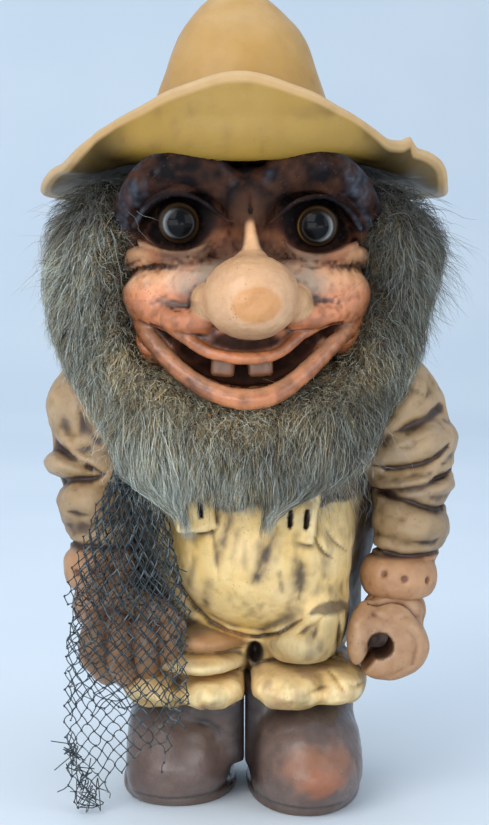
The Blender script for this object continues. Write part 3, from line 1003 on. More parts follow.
def cloth_paint(name, rough=0.55, spec=0.42, speck=0.4, brush=True):
    m = Mat(name)
    c = m.attr("paint", True)
    mid = m.noise(170, 6, 0.62)
    fine = m.noise(950, 4, 0.6)
    strk = m.noise(420, 4, 0.6, vec=m.scaled(1, 1, 0.14))
    c = m.mix(m.ramp(mid, 0.45, 0.75, 0.0, 0.34), c, m.mix(1.0, c, (0.56, 0.48, 0.40), "MULTIPLY"))
    if brush:
        c = m.mix(m.ramp(strk, 0.52, 0.78, 0.0, 0.40), c, m.mix(1.0, c, (0.62, 0.54, 0.44), "MULTIPLY"))
        c = m.mix(m.ramp(strk, 0.44, 0.20, 0.0, 0.22), c, m.mix(1.0, c, (1.22, 1.18, 1.1), "MULTIPLY"))
    sp = m.math("MULTIPLY", m.ramp(m.voronoi(480), 0.08, 0.18, 1.0, 0.0), m.ramp(m.noise(80, 2), 0.46, 0.62))
    c = m.mix(m.math("MULTIPLY", sp, speck), c, (0.09, 0.055, 0.03))
    m.set("Base Color", c)
    m.set("Roughness", m.ramp(mid, 0.3, 0.8, rough - 0.1, rough + 0.12))
    m.set("Specular IOR Level", spec)
    m.set("Coat Weight", 0.10)
    m.set("Coat Roughness", 0.3)
    m.set("Normal", m.bump(fine, 0.2, 0.0005, m.bump(mid, 0.35, 0.0011)))
    return m.m


make_mesh("overalls_body", bv, bq, {"paint": bc, "gloss": bg}, replaces=("torso_casting",),
          material=cloth_paint("overalls_layers"))


# ------------------------------------------------------------------------------------------------ sleeves
def cuff_field(P, c, r, zc, half, tilt, dimples, seed):
    x, z = P[:, 0], P[:, 2]
    cuff = egg(P, (c[0], c[1], zc), (r[0], r[1], 12.5))
    cuff = smax(cuff, np.abs(z - zc - tilt * (x - c[0])) - half, 3.2)
    for dx, dz in dimples:
        yy = c[1] - r[1] * math.sqrt(max(0.0, 1 - ((dx - c[0]) / r[0]) ** 2))
        cuff = smax(cuff, -ball(P, (dx, yy - 0.6, dz), 1.9), 0.5)
    for a in (25, 60, 95, 130, 160):
        ca, sa = math.cos(math.radians(a)), math.sin(math.radians(a))
        cuff = smax(cuff, -ball(P, (c[0] + (r[0] + .6) * ca, c[1] + (r[1] + .6) * sa, zc), 1.9), 0.5)
    near = np.abs(cuff) < 3
    if near.any():
        cuff[near] += 0.4 * fbm(P[near], 6, 2, seed)
    return cuff


def arm_left_field(P):
    d = tube(P, [(49, 0, 143, 22), (56.5, -3, 131, 19.6), (61.0, -7, 119, 15.8), (61.0, -11, 108, 14.0), (60.2, -14, 98, 13.0), (57.5, -16, 90, 11.6)], 18, 60)
    d = smin(d, egg(P, (54.5, -1, 146), (21.0, 19.5, 14.5), rot_xyz(0, 32, 0)), 3)
    d = smin(d, egg(P, (61.4, -8, 126.4), (17.8, 18.6, 10.4), rot_xyz(-10, -17, 0)), 1.6)
    d = smin(d, egg(P, (63.0, -10.5, 111.8), (14.2, 17.6, 6.2), rot_xyz(-10, -9, 0)), 1.4)
    d = smin(d, egg(P, (60.6, -14, 99.6), (14.1, 16.8, 9.8), rot_xyz(-4, 5, 0)), 1.6)
    for path, w, dep in (
            ([(45, 131), (50.5, 139), (57.5, 149), (60, 154)], 1.3, 1.6), ([(54, 134), (60, 136), (65, 138), (71.5, 141.5), (77, 141.5)], 1.2, 1.9),
            ([(64, 144), (68, 149), (69, 153)], 1.6, 0.8), ([(46, 121.4), (52, 120.8), (58, 121.4), (66, 123.2), (72.3, 127.6), (74, 130)], 0.9, 1.7),
            ([(46, 112), (52, 112), (58, 113.2), (65, 114.8), (71.4, 117), (80, 120.5)], 0.9, 2.4),
            ([(47, 110.8), (52, 110.4), (58, 109.2), (65.7, 106.6), (70.6, 105.6), (76, 108.4)], 0.8, 2.2),
            ([(53, 128), (60, 129.5), (66, 133)], 1.4, 0.8), ([(52, 104), (58, 102.4), (66, 99)], 1.6, 0.7), ([(60, 95), (66, 94.4), (71, 96)], 1.2, 0.7),
            ([(44, 91.8), (50, 90.8), (57, 89.6), (64, 89.6), (72, 90.6)], 0.8, 1.8)):
        d = crease(P, d, path, w * 1.75, dep * 1.3)
    for path, w, dep in (([(44, 132), (62, 128), (78, 131)], 1.2, 1.8), ([(44, 122), (61, 116), (78, 120)], 1.1, 1.9),
                         ([(44, 110), (61, 105), (76, 107)], 1.1, 1.8), ([(44, 91), (60, 90), (72, 91)], 0.9, 1.8)):
        d = crease(P, d, path, w, dep, 1, -4)
    near = np.abs(d) < 4
    if near.any():
        Q = P[near]
        d[near] += 1.5 * fbm(Q, 12, 2, 61) + 0.55 * fbm(Q, 4.5, 2, 62)
    return smin(d, cuff_field(P, (56.0, -17.5), (14.1, 14.6), 81.2, 8.0, -0.035, ((49.0, 84.0), (57.1, 82.2), (66.3, 81.0)), 63), 0.4)


def arm_right_field(P):
    d = tube(P, [(-48, 0, 143, 21.5), (-52, -3, 131, 19.2), (-53.5, -7, 118, 15.2), (-53.2, -10.5, 106, 13.4), (-52.0, -13, 97, 11.8), (-52.4, -15.5, 91, 11.0)], 18, 60)
    d = smin(d, egg(P, (-52.5, -3, 142.5), (20.2, 20.0, 18.0), rot_xyz(0, -20, 0)), 2.5)
    d = smin(d, egg(P, (-60.4, -8.5, 120.6), (13.0, 16.8, 6.8), rot_xyz(-8, 8, 0)), 1.2)
    d = smin(d, egg(P, (-54.6, -11.5, 106.6), (13.4, 16.8, 10.6), rot_xyz(-6, 8, 0)), 1.6)
    for path, w, dep in (
            ([(-76, 130.6), (-69.8, 128.0), (-62.3, 124.0), (-56.1, 121.1), (-51, 118.8)], 1.0, 2.6),
            ([(-74, 113.0), (-68.2, 113.6), (-62.0, 115.8), (-54.9, 116.8), (-50, 118.6)], 0.9, 2.3),
            ([(-60.5, 146), (-57.0, 136), (-51, 128)], 1.7, 1.1), ([(-50, 133), (-55, 128.5), (-60, 127)], 1.5, 0.9),
            ([(-64.5, 105.0), (-60, 104.6), (-54, 104.2)], 1.1, 1.1), ([(-66, 141), (-65, 136), (-64, 133)], 1.4, 0.7),
            ([(-66, 93.5), (-58, 92.6), (-50, 92.4), (-42, 92.8)], 0.8, 1.8)):
        d = crease(P, d, path, w * 1.75, dep * 1.3)
    for path, w, dep in (([(-44, 132), (-62, 128), (-78, 131)], 1.2, 1.8), ([(-44, 122), (-61, 116), (-78, 120)], 1.1, 1.9),
                         ([(-42, 108), (-56, 104), (-70, 106)], 1.1, 1.8), ([(-40, 93), (-54, 92), (-68, 93)], 0.9, 1.8)):
        d = crease(P, d, path, w, dep, 1, -4)
    near = np.abs(d) < 4
    if near.any():
        Q = P[near]
        d[near] += 1.5 * fbm(Q, 12, 2, 71) + 0.55 * fbm(Q, 4.5, 2, 72)
    return smin(d, cuff_field(P, (-52.8, -17.5), (13.2, 14.6), 84.2, 7.8, 0.05, ((-60.5, 84.0), (-53.0, 85.0), (-45.5, 85.4)), 73), 0.4)


S_TAN = np.array(srgb(176, 146, 108))
S_OLV = np.array(srgb(154, 124, 84))
S_DRK = np.array(srgb(74, 54, 42))
S_PLM = np.array(srgb(48, 32, 30))
SKIN = np.array(srgb(180, 136, 98))
SKIN2 = np.array(srgb(156, 112, 76))
SKIND = np.array(srgb(98, 58, 38))


def paint_sleeve(v, q, cuff_top, seed):
    P = v.astype(f32)
    e = edges_of(q)
    s, m_ = cavity(v, q, 6, 0.30), cavity(v, q, 45, 1.1)
    a, b, c_ = fbm(P, 14, 3, seed), fbm(P, 4.5, 3, seed + 1), noise(P, 1.5, seed + 2)
    c = np.tile(S_OLV, (len(v), 1))
    c = over(c, S_TAN, np.clip(-m_ * 2.2 + 0.25 + 0.6 * b, 0, 1))
    c = over(c, S_DRK, np.clip(m_ * 2.2 + 0.5 * b * (m_ > -0.2), 0, 0.9))
    c = over(c, np.array(srgb(112, 96, 88)), np.clip(0.1 + 0.9 * a, 0, 0.5))
    c = over(c, S_PLM, np.clip(s * 1.2, 0, 1) * (0.8 + 0.3 * b))
    c = over(c, S_DRK, sstep(c_ * 0.6 + b * 0.8, 0.45, 0.8) * 0.45)
    c = over(c, np.array(srgb(176, 158, 132)), np.clip(-s * 1.5, 0, 1) * np.clip(a + 0.3, 0, 1) * 0.45)
    c = c * (1 - 0.22 * (1 - sstep(v[:, 2], 104, 122)))[:, None]
    cuff = 1 - sstep(v[:, 2] + 0.0 * v[:, 0], cuff_top - 0.6, cuff_top + 0.6)
    k = np.tile(SKIN, (len(v), 1))
    k = over(k, SKIN2, np.clip(0.35 + 0.8 * b, 0, 1))
    k = over(k, SKIND, np.clip(m_ * 0.9 + s * 0.6, 0, 0.9))
    k = over(k, SKIND, sstep(c_ * 0.5 + b, 0.5, 0.9) * 0.4)
    c = over(c, k, cuff)
    c = over(c, S_PLM, np.exp(-((v[:, 2] - cuff_top) / 0.8) ** 2) * 0.85)
    return c, np.clip(0.35 + 0.3 * a + 0.15 * cuff, 0.1, 0.8)


sleeve_mat = cloth_paint("sleeve_layers", 0.52, 0.42, 0.45, brush=False)
for nm, fld, lo, hi, ct, sd in (("sleeve_left", arm_left_field, (28, -36, 68), (82, 24, 164), 89.4, 81),
                                ("sleeve_right", arm_right_field, (-80, -36, 70), (-26, 24, 164), 92.0, 91)):
    v, q = field_mesh(fld, lo, hi, 0.8)
    c, g = paint_sleeve(v, q, ct, sd)
    make_mesh(nm, v, q, {"paint": c, "gloss": g}, replaces=("arm_left" if "left" in nm else "arm_right",), material=sleeve_mat)
# ------------------------------------------------------------------------------------------------ hands
def hand_left_field(P):
    x, y, z = P[:, 0], P[:, 1], P[:, 2]
    # a curled fist: fingers form a ring round the rod socket, its axis along Y
    q = np.sqrt((x - 52.0) ** 2 + ((z - 58.3) * 1.02) ** 2)
    wob = 0.9 * np.cos(3 * np.arctan2(z - 58.3, x - 52.0) + 0.7)
    disc = np.maximum(q - 13.9 - wob * 0.6, np.abs(y + 23.0) - 11.5)
    body = smax(q - 13.9 - wob * 0.6, np.abs(y + 23.0) - 11.5, 6.5)
    d = smin(body, egg(P, (54.5, -19, 69), (11.5, 12, 9)), 3)
    # thumb down the inner side, over the socket's edge
    d = smin(d, tube(P, [(44.5, -27, 68.5, 5.0), (41.6, -31.0, 64.5, 4.9), (40.9, -32.6, 59.0, 4.7), (41.2, -32.2, 54.8, 4.0)], 10), 1.3)
    # finger divisions round the outside
    for yy in (-28.6, -23.2, -17.8):
        band = np.abs(y - yy)
        m = (q > 8) & (band < 3.2) & (x > 44)
        d = d + np.where(m, 1.1 * np.exp(-(band / 0.95) ** 2), 0).astype(f32)
    # socket and the opening between thumb and fingertips
    rod = np.maximum(np.sqrt((x - 48.5) ** 2 + (z - 58.5) ** 2) - 4.4, np.maximum(y + 17.0, -40 - y))
    R = rot_xyz(0, -52, 0)
    gap = brick(P, (43.6, -31, 52.4), (1.6, 14, 8.0), 1.2, rot_xyz(0, 36, 0))
    d = smax(d, -rod, 1.3)
    d = smax(d, -gap, 1.6)
    for path, w, dep in (([(56, -35, 66), (61, -34, 60), (60, -34, 52)], 1.2, 0.5), ([(52, -34.5, 47), (56, -34, 50)], 1.0, 0.4),
                         ([(46, -33, 70), (52, -35, 68), (58, -33, 69)], 1.2, 0.6)):
        d = groove(P, d, path, w, dep)
    near = np.abs(d) < 3
    if near.any():
        d[near] += 0.55 * fbm(P[near], 7, 2, 101)
    return d


def hand_right_field(P):
    d = egg(P, (-40.5, -21, 61.0), (16.5, 13.5, 13.0), rot_xyz(0, -14, 0))
    d = smin(d, egg(P, (-50.5, -18, 71), (12.0, 12.0, 10.5)), 4)
    for (x0, z0, x1, z1, x2, z2, r) in ((-52.5, 66, -53.5, 56, -49.5, 48.5, 5.0), (-45.0, 67.5, -44.8, 55.5, -42.0, 46.8, 5.1),
                                        (-36.8, 68, -35.4, 57, -34.2, 48.8, 4.9), (-29.0, 67, -27.0, 58.6, -27.0, 52.0, 4.3)):
        d = smin(d, tube(P, [(x0, -29, z0, r * 0.9), (x1, -34.4, (z0 + z1) / 2 + 1, r * 1.06), (x1, -34.6, z1 - 1, r), (x2, -29.5, z2, r * 0.95), (x2 + 0.5, -24, z2 - 0.5, r * 0.9)], 14), 1.1)
    d = smin(d, tube(P, [(-46.0, -27, 75.0, 5.2), (-37.0, -33.5, 73.4, 4.9), (-28.6, -34.0, 70.0, 4.4), (-24.4, -31.5, 65.5, 3.7)], 10), 1.2)
    near = np.abs(d) < 3
    if near.any():
        d[near] += 0.55 * fbm(P[near], 6, 2, 111)
    return d


def paint_hand(v, q, seed):
    P = v.astype(f32)
    s, m_ = cavity(v, q, 5, 0.22), cavity(v, q, 40, 0.9)
    a, b, c_ = fbm(P, 12, 3, seed), fbm(P, 4, 3, seed + 1), noise(P, 1.3, seed + 2)
    c = np.tile(SKIN, (len(v), 1))
    c = over(c, np.array(srgb(190, 150, 112)), np.clip(-m_ * 1.2 + 0.2 + 0.4 * a, 0, 1))
    c = over(c, SKIN2, np.clip(0.3 + 0.8 * b, 0, 1) * 0.75)
    c = over(c, SKIND, np.clip(m_ * 1.0 + s * 0.7, 0, 0.92))
    c = over(c, SKIND, sstep(c_ * 0.5 + b, 0.45, 0.9) * 0.45)
    c = c * 0.8
    return c, np.clip(0.4 + 0.3 * a, 0.1, 0.8)


hand_mat = skin_material("hand_paint", 0.75, 0.55)
for nm, fld, lo, hi, sd in (("fist_left", hand_left_field, (33, -40, 40), (70, -4, 79), 121),
                            ("fist_right", hand_right_field, (-65, -44, 38), (-17, -4, 80), 131)):
    v, q = field_mesh(fld, lo, hi, 0.6)
    c, g = paint_hand(v, q, sd)
    if nm == "fist_left":
        deep = (np.sqrt((v[:, 0] - 48.5) ** 2 + (v[:, 2] - 58.5) ** 2) < 5.2) & (v[:, 1] > -34.5)
        c = over(c, np.array(srgb(74, 46, 34)), deep * 0.75)
    else:
        # the paint in the fist's hollows is darker where the net lies on it
        c = over(c, SKIND, 0.12)
    make_mesh(nm, v, q, {"paint": c, "gloss": g}, replaces=("hand_left" if "left" in nm else "hand_right",), material=hand_mat)


# ------------------------------------------------------------------------------------------------ boots
def boot_field(side):
    cx = 21.9 * side

    def f(P):
        x, y, z = P[:, 0], P[:, 1], P[:, 2]
        if side > 0:
            d = egg(P, (22.3, -17.5, 14.5), (21.2, 34.0, 25.0))
            d = smin(d, egg(P, (24.0, -27, 13), (18.0, 25.5, 13.5)), 4)
            front = 46.5
        else:
            d = egg(P, (-25.6, -11.0, 14.5), (20.9, 29.0, 25.0))
            d = smin(d, egg(P, (-25.0, -17, 13), (18.5, 23.5, 13.5)), 4)
            front = 34.5
        d = smin(d, egg(P, (cx, 6, 16), (20.2, 22, 19)), 6)
        d = smin(d, egg(P, (cx, -6, 36), (18.6, 24, 12)), 6)
        d = smax(d, np.abs(x - cx) - 21.4, 3.0)
        # the two boots meet between the legs, above an arch that opens low down
        inner = smax(smax(np.abs(x - 7.0 * side) - 8.0, np.abs(y + 5) - 23.0, 6), np.abs(z - 29.5) - 17.0, 6)
        d = smin(d, inner, 4)
        near = np.abs(d) < 4
        if near.any():
            Q = P[near]
            d[near] += 0.7 * fbm(Q, 15, 2, 141 + side) + 0.28 * fbm(Q, 5, 2, 143 + side)
        d = crease(P, d, [(cx - 16, 25), (cx - 4, 29.5), (cx + 8, 29), (cx + 17, 24)], 1.8, 0.5)
        # welt and sole, following the rounded toe
        sx = cx if side > 0 else -24.2
        half = np.where(y < 0, f32(front), f32(28.5))
        out = (np.abs((x - sx) / (21.2 if side > 0 else 21.0)) ** 2.15 + np.abs(y / half) ** 2.15) ** (1 / 2.15)
        sole = smax((out - 1) * 20.4, np.abs(z - 1.2) - 2.6, 1.4)
        d = smin(d, sole, 0.4)
        return smax(smax(d, -z + 0.02, 0.9), (-x if side > 0 else x) + 0.15, 0.6)
    return f


def paint_boot(v, q, side, seed):
    P = v.astype(f32)
    s, m_ = cavity(v, q, 6, 0.30), cavity(v, q, 50, 1.1)
    a, b, c_ = fbm(P, 13, 3, seed), fbm(P, 4, 3, seed + 1), noise(P, 1.3, seed + 2)
    cx = 22.2 * side
    c = np.tile(np.array(srgb(92, 74, 66)), (len(v), 1))
    c = over(c, np.array(srgb(122, 104, 97)), np.clip(0.35 + 0.9 * a, 0, 1) * sstep(-v[:, 1], 12, 36) * 0.8)
    c = over(c, np.array(srgb(76, 60, 54)), np.clip(0.25 + 0.9 * b, 0, 1) * 0.5)
    c = over(c, np.array(srgb(52, 42, 40)), sstep(v[:, 2], 24, 36) * 0.8)
    c = over(c, np.array(srgb(34, 26, 24)), np.clip(s + m_ * 0.7, 0, 1) * 0.9)
    c = over(c, np.array(srgb(36, 28, 26)), sstep(np.abs(v[:, 0] - cx - 0.0) * (np.sign(v[:, 0] - cx) == -side), 15, 21) * 0.6)
    c = over(c, np.array(srgb(34, 26, 24)), np.exp(-((v[:, 2] - 4.1) / 0.6) ** 2) * 0.75)
    c = over(c, np.array(srgb(96, 78, 66)), (1 - sstep(v[:, 2], 2.2, 3.2)) * 0.6)
    c = over(c, np.array(srgb(38, 29, 27)), (1 - sstep(np.abs(v[:, 0]), 2.5, 7.5)) * sstep(v[:, 2], 7, 12) * 0.85)
    if side > 0:
        r = np.sqrt(((v[:, 0] - 28.0) / 7.2) ** 2 + ((v[:, 2] - 13.6) / 5.4) ** 2) + 0.22 * b
        c = over(c, np.array(srgb(156, 104, 74)), (1 - sstep(np.sqrt(((v[:, 0] - 25) / 15) ** 2 + ((v[:, 2] - 18) / 9) ** 2) + 0.35 * b, 0.5, 1.2)) * (v[:, 1] < -40) * 0.6)
        c = over(c, np.array(srgb(148, 92, 64)), (1 - sstep(r + 0.25 * b, 0.6, 1.15)) * (v[:, 1] < -40) * 0.75)
    c = over(c, np.array(srgb(150, 98, 66)), sstep(b * 0.7 + c_ * 0.45, 0.62, 0.8) * 0.6)
    return c, np.clip(0.55 + 0.4 * a, 0.2, 1)


boot_mat = skin_material("boot_paint_layers", 0.35, 0.52)
for nm, side, sd in (("boot_painted_left", 1, 151), ("boot_painted_right", -1, 161)):
    lo = (min(side * 0.2, side * 45.5), -62, -3)
    hi = (max(side * 0.2, side * 45.5), 31, 49)
    lo = (lo[0] - 1.2, lo[1], lo[2])
    hi = (hi[0] + 1.2, hi[1], hi[2])
    v, q = field_mesh(boot_field(side), lo, hi, 0.85)
    c, g = paint_boot(v, q, side, sd)
    make_mesh(nm, v, q, {"paint": c, "gloss": g}, replaces=("boot_left" if side > 0 else "boot_right",), material=boot_mat)


# ------------------------------------------------------------------------------------------------ glass eyes
def lathe(profile, center, seg=64, axis_tilt=(0, 0)):
    """Turns (radius, depth) rows about -Y at a centre; depth counts towards the viewer."""
    pr = np.array(profile)
    a = np.linspace(0, 2 * math.pi, seg, endpoint=False)
    v = np.stack([pr[:, None, 0] * np.cos(a), -pr[:, None, 1] * np.ones(seg), pr[:, None, 0] * np.sin(a)], -1)
    idx = np.arange(len(pr) * seg).reshape(len(pr), seg)
    q = np.stack([idx[:-1], idx[1:], np.roll(idx, -1, 1)[1:], np.roll(idx, -1, 1)[:-1]], -1).reshape(-1, 4)
    V3 = v.reshape(-1, 3)
    R = rot_xyz(axis_tilt[0], 0, axis_tilt[1]).astype(float)
    return V3 @ R.T + np.array(center), q


def eye_material():
    m = Mat("iris_paint")
    c = m.attr("paint", True)
    n = m.noise(1400, 4, 0.6)
    c = m.mix(m.ramp(n, 0.35, 0.7, 0.0, 0.35), c, m.mix(1.0, c, (0.55, 0.5, 0.45), "MULTIPLY"))
    m.set("Base Color", c)
    m.set("Roughness", m.ramp(n, 0.3, 0.7, 0.22, 0.38))
    m.set("Metallic", m.math("MULTIPLY", m.attr("gold"), 0.7))
    m.set("Specular IOR Level", 0.12)
    return m.m


def glass_material():
    """Dark glass: what shows through it is laid on its surface, under a clear glossy coat."""
    m = Mat("eye_glass_dark")
    n = m.noise(1100, 4, 0.6)
    c = m.attr("paint", True)
    c = m.mix(m.ramp(n, 0.35, 0.7, 0.0, 0.3), c, m.mix(1.0, c, (0.6, 0.55, 0.5), "MULTIPLY"))
    m.set("Base Color", c)
    m.set("Roughness", 0.25)
    m.set("Specular IOR Level", 0.05)
    m.set("Coat Weight", 0.15)
    m.set("Coat Roughness", 0.05)
    return m.m


def eye_look(r, ang, s):
    """The eye's rings by radius and angle: pupil, grey crescents, dark band and a thin gold ring."""
    c = np.tile(np.array(srgb(20, 15, 12)), (len(r), 1))
    c = over(c, np.array(srgb(58, 40, 24)), sstep(r, 5.4, 6.2) * 0.5)
    goldw = 0.22 + 0.78 * np.clip(-np.cos(ang + 0.5), 0, 1) if s < 0 else 0.15 + 0.2 * np.clip(np.sin(ang), 0, 1)
    c = over(c, np.array(srgb(150, 116, 60)), np.exp(-((r - 6.45) / 0.18) ** 2) * goldw * (0.62 if s < 0 else 0.4) * (0.55 + 0.45 * np.sin(2 * ang + 0.8)))
    right, left = np.clip(np.cos(ang + 0.15), 0, 1) ** 1.2, np.clip(-np.cos(ang + 0.1), 0, 1) ** 1.2
    band = (right + 0.22 * left ** 2 if s < 0 else left + 0.45 * right ** 3) + 0.35 * np.clip(-np.sin(ang), 0, 1) ** 2
    wide = 0.26 + 0.60 * (right if s < 0 else left)
    c = over(c, np.array(srgb(98, 101, 104)), np.exp(-((r - 4.9) / wide) ** 2) * np.clip(band, 0, 1) * 0.8)
    c = over(c, np.array(srgb(222, 222, 214)), np.exp(-((r - 5.2) / 0.28) ** 2) * np.clip(band - 0.5, 0, 1) * 0.4)
    c = over(c, np.array(srgb(7, 8, 11)), 1 - sstep(r, 3.9, 4.35))
    return over(c, np.array(srgb(14, 10, 9)), sstep(r, 6.9, 7.15))


iris_mat, glass_mat = eye_material(), glass_material()
for (ex, ey, ez, s), nm in zip(EYES, ("right", "left")):
    tilt = (3, 4 * s)
    rs = np.concatenate([np.linspace(0.0, 4.2, 9), np.linspace(4.45, 7.3, 22), [7.5, 7.5]])
    ds = np.concatenate([np.full(9, 0.15), np.interp(np.linspace(4.45, 7.3, 22), [4.4, 6.0, 6.5, 7.0, 7.3], [0.0, 0.25, 0.55, 0.65, 0.35]), [0.0, -2.0]])
    v, q = lathe(np.stack([rs, ds], 1), (ex, ey, ez), 72, tilt)
    r = np.tile(rs[:, None], (1, 72)).ravel()
    ang = np.tile(np.linspace(0, 2 * math.pi, 72, endpoint=False), len(rs))
    c = eye_look(r, ang, s)
    gold = np.exp(-((r - 6.45) / 0.25) ** 2) * 0.5
    make_mesh("iris_" + nm, v, q, {"paint": c, "gold": gold}, replaces=("eye_backing_" + nm,), material=iris_mat)
    R_ = 8.6
    t = np.linspace(0, 1, 48)
    rr = 7.25 * np.sin(t * math.pi / 2) ** 1.0
    dd = np.sqrt(np.maximum(R_ ** 2 - rr ** 2, 0)) - math.sqrt(R_ ** 2 - 7.25 ** 2) + 0.75
    rs2 = np.concatenate([rr, [7.3, 7.2, 6.0, 3.0, 0.0]])
    ds2 = np.concatenate([dd, [0.4, 0.72 - 0.04, 0.70, 0.70, 0.70]])
    ds2[-5:] = [0.60, 0.72, 0.72, 0.72, 0.72]
    v, q = lathe(np.stack([rs2, ds2], 1), (ex, ey, ez), 72, tilt)
    ang = np.tile(np.linspace(0, 2 * math.pi, 72, endpoint=False), len(rs2))
    c = eye_look(np.repeat(rs2, 72), ang, s)
    v, q, first = weld(v, q)
    c = c[first]
    make_mesh("eye_dome_" + nm, v, q, {"paint": c}, replaces=("eye_glass_" + nm,), material=glass_mat)
# ------------------------------------------------------------------------------------------------ fur
def brim_under(r):
    return np.interp(r, [0, 38, 50, 61, 75, 95], [236, 232.6, 228.6, 223.4, 216.4, 207])


def solids_near(P):
    """A light stand-in for what the fur must stay outside of: head, trunk, arms."""
    d = egg(P, (0.8, -6, 192), (43.5, 38, 50))
    d = smin(d, egg(P, (0.5, -38, 166), (30, 17.5, 16)), 6)
    d = np.minimum(d, trunk(P) - 1.5)
    d = np.minimum(d, egg(P, (6, -10, 100), (36.5, 36.5, 28)))
    d = np.minimum(d, tube(P, [(49, 0, 143, 22.5), (56.5, -3, 131, 20.0), (61.0, -7, 119, 16.4), (61.0, -11, 108, 14.6), (60.2, -14, 98, 13.6)], 10, 60))
    d = np.minimum(d, tube(P, [(-48, 0, 143, 22.2), (-52, -3, 131, 19.8), (-53.5, -7, 118, 15.8), (-53.2, -10.5, 106, 14.0), (-52, -13, 96, 12.6)], 10, 60))
    return d


OUT_Z = [108, 114, 119, 124, 129, 133, 143, 146, 156, 166, 177, 186, 196, 208, 216, 226]
OUT_XL = [20, 30, 41, 44, 46, 49, 55, 57, 62.5, 66, 69, 71.5, 73, 72, 68, 62]      # viewer's left, hairs included
OUT_XR = [8, 20, 32, 41, 44, 46, 50, 55, 60, 63, 64.5, 67, 71, 72, 69, 62]        # viewer's right


def fur_limit(p):
    """How far the hairs may reach sideways at this height, before strays."""
    x, z = p[:, 0], p[:, 2]
    lim = np.where(x < 0, np.interp(z, OUT_Z, OUT_XL), np.interp(z, OUT_Z, OUT_XR))
    wide = np.interp(z, [118, 130, 150, 175], [46, 62, 68, 76])
    return np.where(p[:, 1] > 8, wide, lim)


def core_field(P):
    x, y, z = P[:, 0], P[:, 1], P[:, 2]
    d = egg(P, (0, 8, 193), (60, 58, 42))
    d = smin(d, egg(P, (0, 18, 168), (54, 48, 34)), 8)
    for s in (1, -1):
        d = smin(d, egg(P, (52 * s, -16, 188), (13.0, 24, 32)), 6)
        d = smin(d, egg(P, (46 * s, -20, 163), (13.0, 20, 20)), 6)
        d = smin(d, egg(P, (26 * s, -34, 144), (16.5, 16, 18)), 6)
        d = smin(d, tube(P, [(48.5 * s, -20, 216, 6), (50.5 * s, -26, 192, 7), (46 * s, -32, 170, 8), (35 * s, -38, 152, 8.5), (18 * s, -43, 140, 9.0), (0, -45, 134.5, 9.5)], 14, 60), 4)
    d = smin(d, egg(P, (0, -35, 134), (31, 18, 14)), 6)
    # the face stays open
    face = np.maximum(np.sqrt(((x - 0.8) / 43.0) ** 2 + ((z - 194) / 47.5) ** 2) * 43 - 43, y + 14)
    d = smax(d, -face, 3)
    d = smax(d, -(egg(P, (0.5, -40, 166), (36, 19.5, 19.8))), 3)
    d = np.maximum(d, -(solids_near(P) - 0.4))
    d = smax(d, (np.abs(x) - (fur_limit(P) - 7)).astype(f32), 3)
    d = np.maximum(d, z - brim_under(np.sqrt(x * x + y * y)).astype(f32) + 1.0)
    near = np.abs(d) < 6
    if near.any():
        Q = P[near]
        d[near] += 1.7 * fbm(Q, 13, 2, 201) + 1.1 * noise(Q, 3.6, 203)
    return d


fv, fq = field_mesh(core_field, (-72, -64, 108), (72, 72, 240), 1.5, polish=1)
FP = fv.astype(f32)
fn = vertex_normals(fv, fq)
fnz = fbm(FP, 6, 3, 205)
fcol = np.tile(np.array(srgb(84, 78, 66)), (len(fv), 1))
fcol = over(fcol, np.array(srgb(112, 102, 80)), np.clip(0.4 + fnz, 0, 1) * 0.7)
fcol = over(fcol, np.array(srgb(50, 46, 40)), np.clip(-fnz, 0, 1) * 0.7)
fcol = over(fcol, np.array(srgb(24, 21, 20)), sstep(fv[:, 2] - brim_under(np.hypot(fv[:, 0], fv[:, 1])), -16, -4) * 0.85)


def hide_material():
    m = Mat("undercoat")
    c = m.attr("paint", True)
    h = m.noise(900, 8, 0.75, vec=m.scaled(1, 1, 0.45), dist=0.4)
    h2 = m.noise(260, 6, 0.7, dist=1.2)
    c = m.mix(m.ramp(h, 0.42, 0.68, 0.0, 0.85), m.mix(1.0, c, (0.45, 0.42, 0.38), "MULTIPLY"), m.mix(1.0, c, (1.6, 1.55, 1.4), "MULTIPLY"))
    c = m.mix(m.ramp(h2, 0.35, 0.6, 0.65, 0.0), c, (0.012, 0.010, 0.008))
    m.set("Base Color", c)
    m.set("Roughness", 0.95)
    m.set("Specular IOR Level", 0.1)
    m.set("Normal", m.bump(h, 0.9, 0.0015, m.bump(h2, 0.8, 0.002)))
    return m.m


FRONT_Y = -13.0
make_mesh("fur_undercoat", fv, fq, {"paint": fcol}, replaces=("beard_fur", "hair_fur"), material=hide_material())


def unit(v):
    return v / np.maximum(np.linalg.norm(v, axis=-1, keepdims=True), 1e-9)


def vec_noise(P, scale, seed):
    return np.stack([noise(P.astype(f32), scale, seed + k) for k in range(3)], 1)


def sample_roots(n, rng, weight):
    a, b, c, d = (fv[fq[:, i]] for i in range(4))
    area = 0.5 * np.linalg.norm(np.cross(c - a, d - b), axis=1)
    cen = (a + b + c + d) / 4
    w = area * weight(cen, unit(np.cross(c - a, d - b)))
    k = rng.choice(len(fq), n, p=w / w.sum())
    u, v = rng.random((2, n, 1))
    p = a[k] * (1 - u) * (1 - v) + b[k] * u * (1 - v) + c[k] * u * v + d[k] * (1 - u) * v
    nn = unit((fn[fq[k]]).mean(1))
    return p, nn


def face_gap(p):
    """Distance outwards from the edge of the face opening, in the XZ plane."""
    x, z = p[:, 0], p[:, 2]
    top = np.sqrt(((x - 0.8) / 44.0) ** 2 + ((z - 192) / 46) ** 2) * 44 - 44
    chin = np.sqrt(((x - 0.5) / 36.0) ** 2 + ((z - 166) / 20) ** 2) * 28 - 28
    return np.minimum(top, chin)


